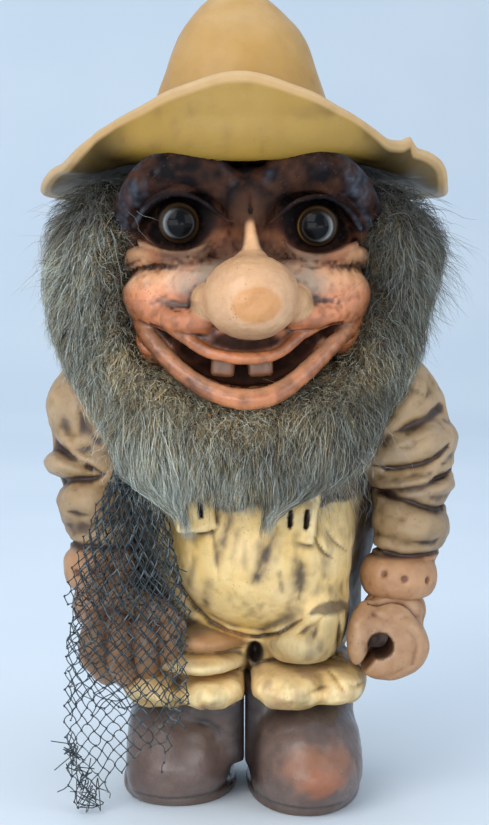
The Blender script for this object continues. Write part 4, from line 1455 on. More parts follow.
def grow(p, n, length, K, curl, curl_size, lift, rng, seed, clump=None, clump_w=0.5, droop=1.0, loose=False):
    """Grows strands in K steps: out along the normal, combed down, with flow, curl and gravity."""
    N = len(p)
    side = np.clip(p[:, 0] / 40, -1, 1)
    fg = face_gap(p)
    back = sstep(p[:, 1], 0, 40)
    low = 1 - sstep(p[:, 2], 150, 185)
    comb = np.stack([side * (0.24 - 0.62 * low * (1 - back)), -0.12 * (1 - back) + 0.22 * back, -np.ones(N)], 1)
    near_face = (1 - sstep(fg, 2, 10)) * (p[:, 1] < -15)
    away = unit(np.stack([(p[:, 0] - 0.8), -6 * np.ones(N), (p[:, 2] - 190)], 1))
    comb = comb + away * (near_face * 0.7)[:, None]
    comb = unit(comb)
    d = unit(n * lift[:, None] + comb * (1 - lift)[:, None] + 0.32 * vec_noise(p, 9, seed) + (0.95 * lift)[:, None] * rng.standard_normal((N, 3)))
    ph = rng.random((N, 1)) * 6.283
    hair_edge = rng.standard_normal(N)
    t1 = unit(np.cross(d, np.array([0.3, 0.2, 1.0])))
    t2 = unit(np.cross(d, t1))
    freq = 6.283 / curl_size
    step = (length / K)[:, None]
    pts = [p]
    q = p.copy()
    s = np.zeros((N, 1))
    for k in range(K):
        t = (k + 1) / K
        g = np.array([0, 0, -1.0]) * (0.16 * droop)
        flow = 0.16 * vec_noise(q, 11, seed + 5)
        d = unit(d + g + flow)
        q = q + d * step
        s = s + step
        # stay outside the figure and under the brim
        sd = solids_near(q.astype(f32))
        bad = sd < 0.6
        if bad.any():
            qb = q[bad].astype(f32)
            e = 0.6
            grad = np.stack([solids_near(qb + V(*(e * (np.arange(3) == a)))) - sd[bad] for a in range(3)], 1)
            q[bad] += unit(grad) * (0.6 - sd[bad])[:, None]
        r = np.hypot(q[:, 0], q[:, 1])
        q[:, 2] = np.minimum(q[:, 2], brim_under(r) - 0.8)
        if not loose:
            lim = fur_limit(q) + 1.5 * hair_edge
            over_ = np.maximum(np.abs(q[:, 0]) - lim, 0)
            q[:, 0] -= np.sign(q[:, 0]) * over_ * 0.8
        amp = curl[:, None] * min(1.0, t * 1.6)
        off = t1 * np.cos(ph + freq * s) * amp + t2 * np.sin(ph * 1.7 + freq * s * 0.83) * amp
        w = q + off
        w[:, 0] = np.clip(w[:, 0], -87.5, 87.5)
        pts.append(w)
    P3 = np.stack(pts, 1)
    if clump is not None:
        w = (np.linspace(0, 1, K + 1) ** 1.3)[None, :, None] * clump_w
        P3 = P3 * (1 - w) + (clump + (p[:, None] - clump[:, :1]) * 0.35) * w
    return P3


def strand_mesh(name, paths, radius, colors, material, tip=0.25):
    """Three-sided tapered hairs, each closed at the root and drawn to a point, with a UV cell each."""
    N, K1, _ = paths.shape
    K = K1 - 1
    d = unit(np.diff(paths, axis=1))
    d = np.concatenate([d, d[:, -1:]], 1)
    ref = np.where(np.abs(d[:, :1, 2:3]) > 0.9, np.array([1.0, 0, 0]), np.array([0, 0, 1.0]))
    t1 = unit(np.cross(d, np.broadcast_to(ref, d.shape)))
    t2 = np.cross(d, t1)
    prof = np.interp(np.linspace(0, 1, K1), [0, 0.3, 0.75, 1], [0.8, 1.0, 0.75, tip])
    r = radius[:, None, None] * prof[None, :, None]
    rings = []
    for a in (0, 2 * math.pi / 3, 4 * math.pi / 3):
        rings.append(paths + (t1 * math.cos(a) + t2 * math.sin(a)) * r)
    rings = np.stack(rings, 2)[:, :K]                     # N, K, 3 sides, 3
    tips = paths[:, K]
    M = K * 3 + 1
    verts = np.concatenate([rings.reshape(N, K * 3, 3), tips[:, None]], 1).reshape(-1, 3)
    base = (np.arange(N) * M)[:, None, None]
    tris, uvs = [], []
    for k in range(K - 1):
        for s in range(3):
            a, b = k * 3 + s, k * 3 + (s + 1) % 3
            c, e = a + 3, b + 3
            tris += [(a, b, e), (a, e, c)]
            v0, v1, u0, u1 = k / K, (k + 1) / K, s / 3, (s + 1) / 3
            uvs += [((u0, v0), (u1, v0), (u1, v1)), ((u0, v0), (u1, v1), (u0, v1))]
    o = (K - 1) * 3
    for s in range(3):
        a, b = o + s, o + (s + 1) % 3
        tris.append((a, b, K * 3))
        uvs.append(((s / 3, (K - 1) / K), ((s + 1) / 3, (K - 1) / K), ((s + 0.5) / 3, 1.0)))
    tris.append((0, 2, 1))
    uvs.append(((0, 0), (0.3, 0), (0.15, 0.02)))
    T = np.array(tris)
    faces = (T[None] + base).reshape(-1, 3)
    shadow = 1 - 0.8 * sstep(paths[:, 0, 2] - brim_under(np.hypot(paths[:, 0, 0], paths[:, 0, 1])), -20, -4)
    side_d = 1 - 0.45 * sstep(paths[:, 0, 0], 20, 50) * sstep(paths[:, 0, 2], 150, 180) - 0.35 * (1 - sstep(face_gap(paths[:, 0]), 3, 12)) * sstep(paths[:, 0, 2], 172, 190)
    root = paths[:, 0]
    warm = ((1 - sstep(face_gap(root), 4, 13)) * (1 - sstep(root[:, 2], 163, 178)) * (root[:, 1] < -20))[:, None] * np.array([0.50, 0.34, 0.12])
    chin = 1 - 0.16 * sstep(root[:, 0], 30, 50) - 0.38 * sstep(root[:, 0], 2, 16) * (1 - sstep(root[:, 2], 150, 165))
    mott = 1 + 0.30 * np.clip(fbm(root.astype(f32), 7.5, 2, 97) * 1.6, -1, 1)
    col = np.repeat((colors * (shadow * side_d * chin * mott)[:, None] * (1 + warm))[:, None, :], M, 1)
    along = np.concatenate([np.repeat(np.arange(K) / K, 3), [1.0]])
    shade = np.interp(along, [0, 0.35, 1.0], [0.42, 0.95, 1.18])
    col = col * shade[None, :, None]
    ob = make_mesh(name, verts, faces, {"paint": np.clip(col.reshape(-1, 3), 0, 1)}, material=material)
    side = int(math.ceil(math.sqrt(N)))
    cell = 1.0 / side
    U = np.array(uvs, f32)
    gx, gy = (np.arange(N) % side).astype(f32), (np.arange(N) // side).astype(f32)
    uv = np.empty((N, len(T), 3, 2), f32)
    uv[..., 0] = (gx[:, None, None] + 0.1 + 0.8 * U[None, :, :, 0]) * cell
    uv[..., 1] = (gy[:, None, None] + 0.1 + 0.8 * U[None, :, :, 1]) * cell
    layer = ob.data.uv_layers.new(name="OFBake")
    layer.data.foreach_set("uv", uv.ravel())
    return ob


def hair_material(name, tint=(1, 1, 1)):
    m = Mat(name)
    c = m.attr("paint", True)
    n = m.noise(500, 4, 0.6)
    n2 = m.noise(70, 3, 0.5)
    c = m.mix(m.ramp(n, 0.3, 0.7, 0.0, 0.5), c, m.mix(1.0, c, (0.62, 0.60, 0.56), "MULTIPLY"))
    c = m.mix(m.ramp(n2, 0.35, 0.65, 0.0, 0.35), c, m.mix(1.0, c, (1.25, 1.2, 1.08), "MULTIPLY"))
    m.set("Base Color", c)
    m.set("Roughness", m.ramp(n2, 0.3, 0.7, 0.42, 0.6))
    m.set("Specular IOR Level", 0.35)
    m.set("Sheen Weight", 0.15)
    m.set("Sheen Roughness", 0.4)
    return m.m


fur_mat = hair_material("fur_hairs")
F_DARK = np.array(srgb(64, 59, 52))
F_OLV = np.array(srgb(128, 126, 106))
F_GRY = np.array(srgb(156, 162, 150))
F_SIL = np.array(srgb(212, 220, 214))
F_BRN = np.array(srgb(152, 130, 92))
F_TAN = np.array(srgb(200, 184, 146))


def hair_colors(p, rng, silver, brown, dark):
    N = len(p)
    r = rng.random(N)
    patch = 0.5 + 0.5 * fbm(p.astype(f32), 9, 2, 301)
    c = np.where((r < 0.5)[:, None], F_OLV, F_GRY)
    c = c * (0.75 + 0.5 * rng.random((N, 1)))
    c = np.where((rng.random(N) < brown * (0.4 + 1.2 * patch))[:, None], F_BRN * (0.7 + 0.5 * rng.random((N, 1))), c)
    c = np.where((rng.random(N) < dark * (1.5 - patch))[:, None], F_DARK * (0.7 + 0.6 * rng.random((N, 1))), c)
    c = np.where((rng.random(N) < silver)[:, None], F_SIL * (0.75 + 0.3 * rng.random((N, 1))), c)
    c = np.where((rng.random(N) < brown * 0.25)[:, None], F_TAN, c)
    return c


def coat(name, count, seed, weight, length, curl, curl_size, lift, radius, silver, brown, dark, clumps=0, clump_w=0.5,
         K=6, droop=1.0, loose=False):
    rng = np.random.default_rng(seed)
    n = int(count * (1.0))
    p, nn = sample_roots(n, rng, weight)
    fg = face_gap(p)
    L = length(p, fg) * (0.75 + 0.5 * rng.random(n))
    C = curl(p, fg) * (0.6 + 0.8 * rng.random(n))
    LF = np.clip(lift(p, fg) + 0.12 * rng.standard_normal(n), 0.03, 0.95)
    guide = None
    if clumps:
        pc, nc = sample_roots(clumps, rng, weight)
        gl = grow(pc, nc, length(pc, face_gap(pc)), K, curl(pc, face_gap(pc)) * 0.6, curl_size, np.clip(lift(pc, face_gap(pc)), 0.03, 0.9), rng, seed, droop=droop)
        near = np.empty(n, int)
        for s in range(0, n, 4000):
            dd = ((p[s:s + 4000, None, :] - pc[None]) ** 2).sum(2)
            near[s:s + 4000] = dd.argmin(1)
        guide = gl[near]
    paths = grow(p, nn, L, K, C, curl_size, LF, rng, seed, guide, clump_w, droop, loose)
    cols = hair_colors(p, rng, silver, brown, dark)
    rad = radius * (0.7 + 0.6 * rng.random(n)) * 1.0
    return strand_mesh(name, paths, rad, cols, fur_mat)


def w_vis(c):
    r = np.hypot(c[:, 0], c[:, 1])
    return (c[:, 2] < brim_under(r) - 2.5) & (solids_near(c.astype(f32)) > 1.2)


front_w = lambda c, n: w_vis(c) * (c[:, 1] < -14) * (c[:, 2] < 158) * (np.abs(c[:, 0]) < 46) * (n[:, 1] < 0.35)
left_w = lambda c, n: w_vis(c) * (c[:, 0] > 34) * (c[:, 1] < 22) * (n[:, 0] > -0.35) * (n[:, 1] < 0.75)
right_w = lambda c, n: w_vis(c) * (c[:, 0] < -34) * (c[:, 1] < 22) * (n[:, 0] < 0.35) * (n[:, 1] < 0.75)
back_w = lambda c, n: w_vis(c) * (c[:, 1] > 12) * (n[:, 1] > -0.25)
rim_w = lambda c, n: w_vis(c) * (c[:, 1] < -12) * (1 - sstep(face_gap(c), 7, 13)) * (n[:, 1] < 0.6)

coat("beard_matted_a", 8400, 11, front_w, lambda p, g: 5.5 + 5 * sstep(g, 3, 16), lambda p, g: 1.0 - 0.2 * sstep(g, 4, 16), 3.0,
     lambda p, g: 0.55 + 0 * g, 0.085, 0.10, 0.50, 0.26, 500, 0.25, K=4)
coat("beard_matted_b", 8400, 12, front_w, lambda p, g: 6.5 + 7 * sstep(g, 3, 16), lambda p, g: 0.95 - 0.2 * sstep(g, 4, 16), 4.0,
     lambda p, g: 0.48 + 0 * g, 0.08, 0.18, 0.34, 0.28, 420, 0.35, K=4)
coat("beard_matted_c", 8400, 15, front_w, lambda p, g: 7 + 8 * sstep(g, 3, 16), lambda p, g: 0.9 + 0 * g, 5.0,
     lambda p, g: 0.40 + 0 * g, 0.075, 0.30, 0.26, 0.20, 420, 0.35, K=4)
low_w = lambda c, n: front_w(c, n) * (c[:, 2] < 148) * (0.35 + sstep(np.abs(c[:, 0]), 8, 24))
coat("beard_long", 5200, 13, low_w, lambda p, g: 12 + 12 * sstep(np.abs(p[:, 0]), 10, 30), lambda p, g: 0.55 + 0 * g, 7,
     lambda p, g: 0.22 + 0 * g, 0.08, 0.34, 0.24, 0.18, 240, 0.5, K=6, droop=1.5)
coat("beard_rim_fuzz", 8400, 14, rim_w, lambda p, g: 4.0 + 3.5 * sstep(g, 0, 10), lambda p, g: 0.75 + 0 * g, 2.2,
     lambda p, g: 0.55 + 0 * g, 0.08, 0.08, 0.55, 0.30, 0, K=4)
lock_l = lambda c, n: w_vis(c) * (c[:, 1] < -20) * (c[:, 2] < 150) * (c[:, 0] < -20) * (c[:, 0] > -48) * (n[:, 1] < 0.3)
lock_r = lambda c, n: w_vis(c) * (c[:, 1] < -24) * (c[:, 2] < 146) * (c[:, 0] > 8) * (c[:, 0] < 40) * (n[:, 1] < 0.3)
coat("beard_lock_right", 1500, 16, lock_l, lambda p, g: 26 + 9 * sstep(-p[:, 0], 26, 40), lambda p, g: 0.5 + 0 * g, 9,
     lambda p, g: 0.22 + 0 * g, 0.085, 0.55, 0.10, 0.10, 46, 0.62, K=7, droop=1.7)
coat("beard_lock_left", 1500, 17, lock_r, lambda p, g: 25 + 0 * g, lambda p, g: 0.5 + 0 * g, 9,
     lambda p, g: 0.22 + 0 * g, 0.085, 0.40, 0.20, 0.14, 46, 0.6, K=7, droop=1.7)
coat("beard_wisps", 900, 18, low_w, lambda p, g: 17 + 8 * sstep(np.abs(p[:, 0]), 10, 30), lambda p, g: 1.3 + 0 * g, 11,
     lambda p, g: 0.34 + 0 * g, 0.06, 0.62, 0.10, 0.05, 0, K=7, droop=1.3, loose=True)
for nm, w_, sd in (("hair_side_left", left_w, 21), ("hair_side_right", right_w, 22)):
    coat(nm + "_under", 8400, sd, w_, lambda p, g: 7 + 8 * sstep(g, 4, 24), lambda p, g: 0.9 - 0.3 * sstep(g, 4, 20), 4,
         lambda p, g: 0.40 + 0 * g, 0.085, 0.14, 0.30, 0.28, 420, 0.35, K=4)
    coat(nm + "_mid", 6600, sd + 5, w_, lambda p, g: 9 + 11 * sstep(g, 4, 24), lambda p, g: 0.7 - 0.3 * sstep(g, 4, 20), 6,
         lambda p, g: 0.32 + 0 * g, 0.08, 0.30, 0.22, 0.20, 420, 0.4, K=5)
    coat(nm + "_long", 4400, sd + 10, w_, lambda p, g: (12 + 20 * sstep(g, 8, 26)) * (0.55 + 0.45 * sstep(p[:, 2], 158, 185)), lambda p, g: 0.45 + 0 * g, 9,
         lambda p, g: 0.26 + 0 * g, 0.08, 0.50, 0.10, 0.14, 260, 0.55, K=7, droop=1.2)
for nm, s, sd in (("hair_back_left", 1, 41), ("hair_back_right", -1, 42)):
    w_ = (lambda s: (lambda c, n: back_w(c, n) * (c[:, 0] * s > -1)))(s)
    coat(nm, 6600, sd, w_, lambda p, g: 22 + 6 * sstep(p[:, 2], 140, 200), lambda p, g: 0.5 + 0 * g, 8,
         lambda p, g: 0.26 + 0 * g, 0.10, 0.26, 0.22, 0.26, 380, 0.55, K=5, droop=1.2)
# stray long hairs that leave the outline
stray_w = lambda c, n: w_vis(c) * (np.abs(c[:, 0]) > 44) * (c[:, 1] < 30) * (np.abs(n[:, 0]) > 0.5) * (c[:, 2] > 160) * (0.45 + 1.1 * (c[:, 0] > 0) * (c[:, 2] > 178))
coat("hair_strays", 1500, 51, stray_w, lambda p, g: 15 + 7 * sstep(p[:, 2], 165, 205), lambda p, g: 0.6 + 0 * g, 13,
     lambda p, g: 0.50 + 0 * g, 0.065, 0.62, 0.05, 0.05, 0, K=7, droop=1.0, loose=True)
# ------------------------------------------------------------------------------------------------ fishing net
# A diamond net folded in four, gathered at the shoulder and let down over the right fist by a small
# position-based simulation against the castings; then every thread and knot is built as twine.
NET_PER_LAYER, NET_LAYERS, NET_ROWS, NET_SIDE = 10, 4, 44, 3.6
NZ = [140, 122, 113, 100, 88, 79, 67, 50, 36, 27, 10, 0, -40]
NXL = [-44, -45, -49, -55, -60.5, -62.5, -63.5, -63.5, -64.5, -65, -62, -60, -60]
NXR = [-34, -33, -29, -25, -21.5, -19.5, -19, -19, -19, -20, -24, -28, -28]


def net_field(P):
    d = np.minimum(torso_field(P), arm_right_field(P))
    d = np.minimum(d, hand_right_field(P))
    d = np.minimum(d, boot_field(-1)(P))
    return np.minimum(d, P[:, 2] - 0.2)


class Grid:
    """A sampled distance field with trilinear lookup."""

    def __init__(self, f, lo, hi, h):
        self.lo, self.h = np.array(lo, float), h
        self.n = np.ceil((np.array(hi, float) - self.lo) / h).astype(int) + 1
        idx = np.stack(np.meshgrid(*[np.arange(k) for k in self.n], indexing="ij"), -1).reshape(-1, 3)
        self.g = _chunk(f, (self.lo + idx * h).astype(f32)).reshape(self.n)

    def at(self, p):
        q = np.clip((p - self.lo) / self.h, 0, self.n - 1.001)
        i = q.astype(int)
        t = q - i
        out = 0
        for c in _C:
            w = np.prod(np.where(c, t, 1 - t), 1)
            out = out + w * self.g[i[:, 0] + c[0], i[:, 1] + c[1], i[:, 2] + c[2]]
        return out

    def grad(self, p, e=0.8):
        return np.stack([self.at(p + e * (np.arange(3) == a)) - self.at(p - e * (np.arange(3) == a)) for a in range(3)], 1) / (2 * e)


def net_layout():
    node, pos, layer = {}, [], []
    C = NET_PER_LAYER * NET_LAYERS
    rng = np.random.default_rng(601)
    wob = rng.standard_normal((C + 1, 4))
    for i in range(C + 1):
        k = min(i // NET_PER_LAYER, NET_LAYERS - 1)
        t = (i - k * NET_PER_LAYER) / NET_PER_LAYER
        fan0 = t if k % 2 == 0 else 1 - t
        rows = (44 - 12 * fan0, 33 - 3 * fan0, 25, 20)[k] + 1.2 * wob[i, 0]
        z = 124.0
        for j in range(int(rows)):
            ii = i + 0.5 * (j % 2)
            kk = min(int(ii // NET_PER_LAYER), NET_LAYERS - 1)
            tt = (ii - kk * NET_PER_LAYER) / NET_PER_LAYER
            fan = tt if kk % 2 == 0 else 1 - tt
            xl, xr = np.interp(-z, [-a for a in NZ], NXL), np.interp(-z, [-a for a in NZ], NXR)
            w = (xr - xl) / NET_PER_LAYER
            x = xl + (xr - xl) * fan
            y = -46.5 + 2.6 * kk + 2.2 * math.sin(2.3 * ii + 0.07 * z) - 0.05 * (124 - z) * (x < -48)
            if z > 96:
                y += (z - 96) / 28 * 6.0
            node[(i, j)] = len(pos)
            pos.append((x, y, z))
            layer.append(kk)
            z -= math.sqrt(max(NET_SIDE ** 2 - (w / 2) ** 2, 1.0))
    edges, horiz, vert = [], [], []
    for (i, j), a in node.items():
        for di in ((0, 1) if j % 2 else (-1, 0)):
            b = node.get((i + di, j + 1))
            if b is not None:
                edges.append((a, b))
        b = node.get((i + 1, j))
        if b is not None:
            horiz.append((a, b))
        b = node.get((i, j + 2))
        if b is not None:
            vert.append((a, b))
    top = [a for (i, j), a in node.items() if j < 2]
    return np.array(pos), np.array(layer), np.array(edges), np.array(horiz), np.array(vert), np.array(top)


def groups(e):
    """Splits edges into sets that share no node, so each set can be solved at once."""
    out, left = [], list(map(tuple, e))
    while left:
        used, now, rest = set(), [], []
        for a, b in left:
            if a in used or b in used:
                rest.append((a, b))
            else:
                used.update((a, b))
                now.append((a, b))
        out.append(np.array(now))
        left = rest
    return out


def drape_net():
    p, layer, edges, horiz, vert, top = net_layout()
    grid = Grid(net_field, (-84, -66, -4), (-6, 4, 132), 1.6)
    pin = np.zeros(len(p), bool)
    pin[top] = True
    home = p.copy()
    inv = np.where(pin, 0.0, 1.0)
    ge, gh, gv = groups(edges), groups(horiz), groups(vert)
    h0 = [np.linalg.norm(p[g[:, 0]] - p[g[:, 1]], axis=1) for g in gh]
    off = 0.55 + 0.75 * (NET_LAYERS - 1 - layer)
    prev = p.copy()
    steps = 260
    for s in range(steps):
        vel = (p - prev) * 0.955
        prev = p.copy()
        p = p + vel + np.array([0, 0, -0.035]) * inv[:, None]
        ease = max(0.0, 1 - s / (0.6 * steps))
        p[:, 0] += (home[:, 0] - p[:, 0]) * 0.02 * inv * (0.25 + ease)
        p[:, 1] += (-43.5 - p[:, 1]) * 0.004 * inv * ease
        for it in range(10):
            for g in ge:
                a, b = g[:, 0], g[:, 1]
                d = p[b] - p[a]
                L = np.maximum(np.linalg.norm(d, axis=1), 1e-6)
                w = np.maximum(inv[a] + inv[b], 1e-9)
                c = ((L - NET_SIDE) / L / w)[:, None] * d
                p[a] += c * inv[a][:, None]
                p[b] -= c * inv[b][:, None]
            if it % 3 == 0:
                for g, r in zip(gh, h0):
                    a, b = g[:, 0], g[:, 1]
                    d = p[b] - p[a]
                    L = np.maximum(np.linalg.norm(d, axis=1), 1e-6)
                    c = (0.10 * (L - r) / L / np.maximum(inv[a] + inv[b], 1e-9))[:, None] * d
                    p[a] += c * inv[a][:, None]
                    p[b] -= c * inv[b][:, None]
                for g in gv:
                    a, b = g[:, 0], g[:, 1]
                    d = p[b] - p[a]
                    L = np.maximum(np.linalg.norm(d, axis=1), 1e-6)
                    c = (0.5 * np.minimum(L - 4.0, 0) / L / np.maximum(inv[a] + inv[b], 1e-9))[:, None] * d
                    p[a] += c * inv[a][:, None]
                    p[b] -= c * inv[b][:, None]
        for _ in range(2):
            sd = grid.at(p)
            bad = (sd < off) & ~pin
            if bad.any():
                gr = grid.grad(p[bad])
                gr = gr / np.maximum(np.linalg.norm(gr, axis=1, keepdims=True), 0.3)
                push = (off[bad] - sd[bad])[:, None] * gr
                p[bad] += push
                slide = p[bad] - prev[bad]
                slide -= (slide * gr).sum(1, keepdims=True) * gr
                p[bad] -= slide * 0.35
    return p, edges, grid


def twine(paths, r, sides=5):
    """Closed round threads along paths (N, K, 3): returns verts, triangles and one UV cell per thread."""
    N, K, _ = paths.shape
    d = np.zeros_like(paths)
    d[:, :-1] += np.diff(paths, axis=1)
    d[:, 1:] += np.diff(paths, axis=1)
    d = unit(d)
    ref = np.where(np.abs(d[:, :1, 2:3]) > 0.9, np.array([1.0, 0, 0]), np.array([0, 0, 1.0]))
    t1 = unit(np.cross(d, np.broadcast_to(ref, d.shape)))
    t2 = np.cross(d, t1)
    an = np.arange(sides) * 2 * math.pi / sides
    r = np.broadcast_to(np.asarray(r, float).reshape(-1, 1) if np.ndim(r) else r, (N, K))
    ring = paths[:, :, None] + (t1[:, :, None] * np.cos(an)[:, None] + t2[:, :, None] * np.sin(an)[:, None]) * r[:, :, None, None]
    T, U = [], []
    for k in range(K - 1):
        for s in range(sides):
            a, b = k * sides + s, k * sides + (s + 1) % sides
            T += [(a, b, b + sides), (a, b + sides, a + sides)]
            v0, v1, u0, u1 = k / (K - 1), (k + 1) / (K - 1), s / sides, (s + 1) / sides
            U += [((u0, v0), (u1, v0), (u1, v1)), ((u0, v0), (u1, v1), (u0, v1))]
    o = (K - 1) * sides
    for s in range(1, sides - 1):
        T += [(0, s + 1, s), (o, o + s, o + s + 1)]
        U += [((0, 0), (0.1, 0), (0.05, 0.05)), ((0, 1), (0.1, 1), (0.05, 0.95))]
    T = np.array(T)
    F = (T[None] + (np.arange(N) * K * sides)[:, None, None]).reshape(-1, 3)
    return ring.reshape(-1, 3), F, np.array(U, f32)


net_p, net_e, net_grid = drape_net()


def net_threads():
    rng = np.random.default_rng(611)
    a, b = net_p[net_e[:, 0]], net_p[net_e[:, 1]]
    bow = rng.standard_normal((len(a), 3)) * 0.28
    th = np.stack([a, a * .67 + b * .33 + bow, a * .33 + b * .67 + bow * 0.9, b], 1)
    # loose threads: a tangle at the low outer corner and a few broken ends
    ends = []
    for n in range(20):
        c0 = np.array([-63.5, -38, 25.0]) * (1 - n / 19) + np.array([-53.0, -42, 3.2]) * (n / 19)
        q = c0 + rng.standard_normal((3, 3)) * (2.2, 2.0, 3.2)
        q = np.concatenate([[c0 + rng.standard_normal(3) * (2.8, 2, 3)], q, [c0 + rng.standard_normal(3) * (2.8, 2, 3)]])
        ends.append(smooth_path(q, 13))
    for n in range(26):
        i = rng.integers(len(net_p))
        q0 = net_p[i]
        dirn = rng.standard_normal(3) * (1.6, 0.7, 1.0) + (0, -0.5, -1.5)
        q = np.stack([q0, q0 + dirn, q0 + dirn * 2 + rng.standard_normal(3) * 0.9, q0 + dirn * 2.7 + rng.standard_normal(3) * 1.6])
        ends.append(smooth_path(q, 13))
    # the gathering cord round the top of the net
    t = np.linspace(0, 2 * math.pi * 3.4, 61)
    top = np.stack([-39.3 + 6.4 * np.cos(t), -41.0 + 3.2 * np.sin(t), 121.2 - 0.28 * t], 1)
    ends += [top[k * 12:k * 12 + 13] for k in range(5)]
    ends = np.array(ends)
    sd = net_grid.at(ends.reshape(-1, 3)).reshape(ends.shape[:2])
    g = net_grid.grad(ends.reshape(-1, 3)).reshape(ends.shape)
    ends = ends + unit(g) * np.maximum(0.5 - sd, 0)[..., None]
    ends[..., 2] = np.maximum(ends[..., 2], 0.5)
    return th, np.concatenate([ends[:, 3 * k:3 * k + 4] for k in range(4)])


def net_material():
    m = Mat("net_twine_weave")
    c = m.attr("paint", True)
    n = m.noise(700, 4, 0.6)
    w = m.noise(2600, 2, 0.5)
    c = m.mix(m.ramp(n, 0.3, 0.7, 0.0, 0.6), c, m.mix(1.0, c, (0.5, 0.52, 0.56), "MULTIPLY"))
    c = m.mix(m.ramp(w, 0.4, 0.7, 0.0, 0.5), c, m.mix(1.0, c, (1.5, 1.5, 1.45), "MULTIPLY"))
    m.set("Base Color", c)
    m.set("Roughness", m.ramp(w, 0.3, 0.7, 0.5, 0.75))
    m.set("Specular IOR Level", 0.4)
    m.set("Normal", m.bump(w, 0.5, 0.0002))
    return m.m


def build_net():
    th, ends = net_threads()
    paths = np.concatenate([th, ends])
    v1, f1, u1 = twine(paths, 0.20, 5)
    rng = np.random.default_rng(621)
    N1 = len(paths)
    col = np.array(srgb(56, 64, 67))[None] * (0.6 + 0.8 * rng.random((N1, 1)))
    col = np.where((rng.random(N1) < 0.2)[:, None], np.array(srgb(98, 107, 108)), col)
    c1 = np.repeat(col, 4 * 5, 0)
    # knots: short fat beads across each node
    ax = unit(rng.standard_normal((len(net_p), 3)) * (1, 0.5, 1))
    kp = net_p[:, None] + ax[:, None] * np.array([-0.5, -0.2, 0.2, 0.5])[None, :, None]
    v2, f2, u2 = twine(kp, 0.36, 5)
    v2 = v2.reshape(len(net_p), 4, 5, 3)
    cen = kp[:, :, None]
    v2 = cen + (v2 - cen) * np.array([0.55, 1.0, 1.0, 0.55])[None, :, None, None]
    v2 = v2.reshape(-1, 3)
    c2 = np.repeat(np.array(srgb(52, 62, 70))[None] * (0.6 + 0.8 * rng.random((len(net_p), 1))), 20, 0)
    v = np.concatenate([v1, v2])
    f = np.concatenate([f1, f2 + len(v1)])
    c = np.concatenate([c1, c2])
    # faces point outwards whatever the thread's direction
    ob = make_mesh("fishing_net_twine", v, f, {"paint": np.clip(c, 0, 1)}, replaces=("fishing_net",), material=net_material())
    N = N1 + len(net_p)
    side = int(math.ceil(math.sqrt(N)))
    U = np.concatenate([np.tile(u1[None], (N1, 1, 1, 1)), np.tile(u2[None], (len(net_p), 1, 1, 1))])
    k = np.arange(N)
    gx, gy = (k % side).astype(f32)[:, None, None], (k // side).astype(f32)[:, None, None]
    uv = np.empty(U.shape, f32)
    uv[..., 0] = (gx + 0.1 + 0.8 * U[..., 0]) / side
    uv[..., 1] = (gy + 0.1 + 0.8 * U[..., 1]) / side
    layer = ob.data.uv_layers.new(name="OFBake")
    layer.data.foreach_set("uv", uv.ravel())
    a, b, c3 = v[f[:, 0]], v[f[:, 1]], v[f[:, 2]]
    area_mm2 = 0.5 * np.linalg.norm(np.cross(b - a, c3 - a), axis=1).sum()
    return ob, area_mm2


net_ob, net_area = build_net()
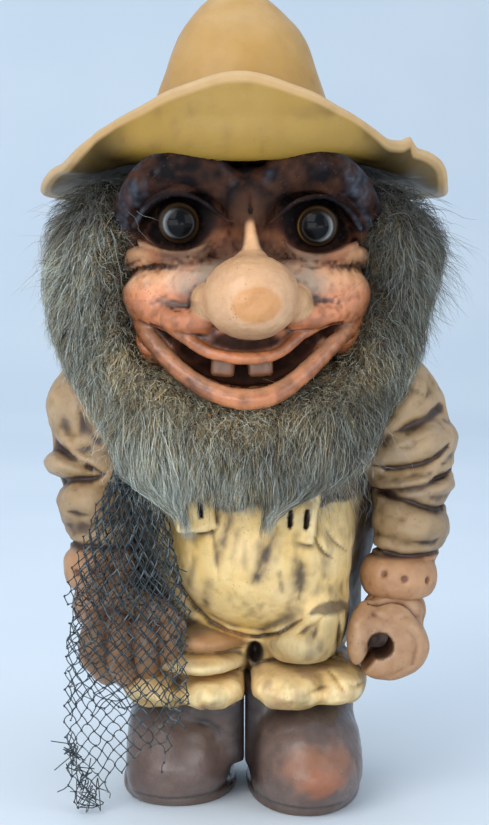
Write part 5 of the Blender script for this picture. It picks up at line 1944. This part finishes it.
# ------------------------------------------------------------------------------------------------ set, light and camera
def stage_set():
    verts, faces = [], []
    prof = [(-3.2, 0.0), (1.3, 0.0)]
    for i in range(1, 15):
        a = math.radians(90 * i / 14)
        prof.append((1.3 + 0.9 * math.sin(a), 0.9 - 0.9 * math.cos(a)))
    prof.append((2.20, 4.2))
    for y, z in prof:
        verts += [(-3.6, y, z), (3.6, y, z)]
    for i in range(len(prof) - 1):
        faces.append((2 * i, 2 * i + 1, 2 * i + 3, 2 * i + 2))
    me = bpy.data.meshes.new("floor")
    me.from_pydata(verts, [], faces)
    for p in me.polygons:
        p.use_smooth = True
    ob = bpy.data.objects.new("floor", me)
    bpy.context.scene.collection.objects.link(ob)
    m = Mat("floor_paper")
    m.set("Base Color", m.mix(m.ramp(m.noise(3, 2), 0.3, 0.7), srgb(216, 226, 236), srgb(222, 231, 239)))
    m.set("Roughness", 0.75)
    me.materials.append(m.m)


stage_set()


def area(name, loc, target, size, power, color=(1, 1, 1)):
    L = bpy.data.lights.new(name, "AREA")
    L.shape = "RECTANGLE"
    L.size, L.size_y = size
    L.energy = power
    L.color = color
    ob = bpy.data.objects.new(name, L)
    ob.location = loc
    ob.rotation_euler = (Vector(target) - Vector(loc)).to_track_quat("-Z", "Y").to_euler()
    bpy.context.scene.collection.objects.link(ob)
    return ob


area("key", (-0.55, -0.80, 0.85), (0, 0, 0.15), (0.8, 0.7), 5.9, (1.0, 0.985, 0.96))
area("low_front", (-0.45, -0.95, 0.20), (0, 0, 0.08), (0.8, 0.4), 3.3, (1.0, 0.98, 0.96))
area("fill", (0.9, -0.75, 0.50), (0, 0, 0.15), (0.8, 0.8), 3.6, (0.94, 0.97, 1.0))
area("top", (0.0, 0.25, 1.3), (0, 0, 0.1), (1.1, 1.1), 4.0, (0.97, 0.98, 1.0))
area("back_wash", (-0.9, 0.7, 1.7), (-0.6, 2.2, 0.7), (1.4, 1.0), 8.0, (0.90, 0.96, 1.0))
area("foot_light", (0.15, -0.95, 0.10), (0, -0.10, 0.0), (0.6, 0.15), 0.9, (0.98, 0.99, 1.0))
world = bpy.data.worlds.new("studio")
world.use_nodes = True
world.node_tree.nodes["Background"].inputs[0].default_value = (0.52, 0.60, 0.69, 1)
world.node_tree.nodes["Background"].inputs[1].default_value = 1.0
bpy.context.scene.world = world
bpy.context.scene.view_settings.view_transform = "Standard"

cam = bpy.data.cameras.new("camera")
cam.sensor_fit = "AUTO"
cam.sensor_width = 36
cam.lens = 36 * 1900 / 825
cam.clip_start = 0.02
cam.clip_end = 20
co = bpy.data.objects.new("camera", cam)
co.location = (0, -0.700, 0.205)
co.rotation_euler = (math.radians(90 - 5.40), 0, 0)
bpy.context.scene.collection.objects.link(co)
bpy.context.scene.camera = co
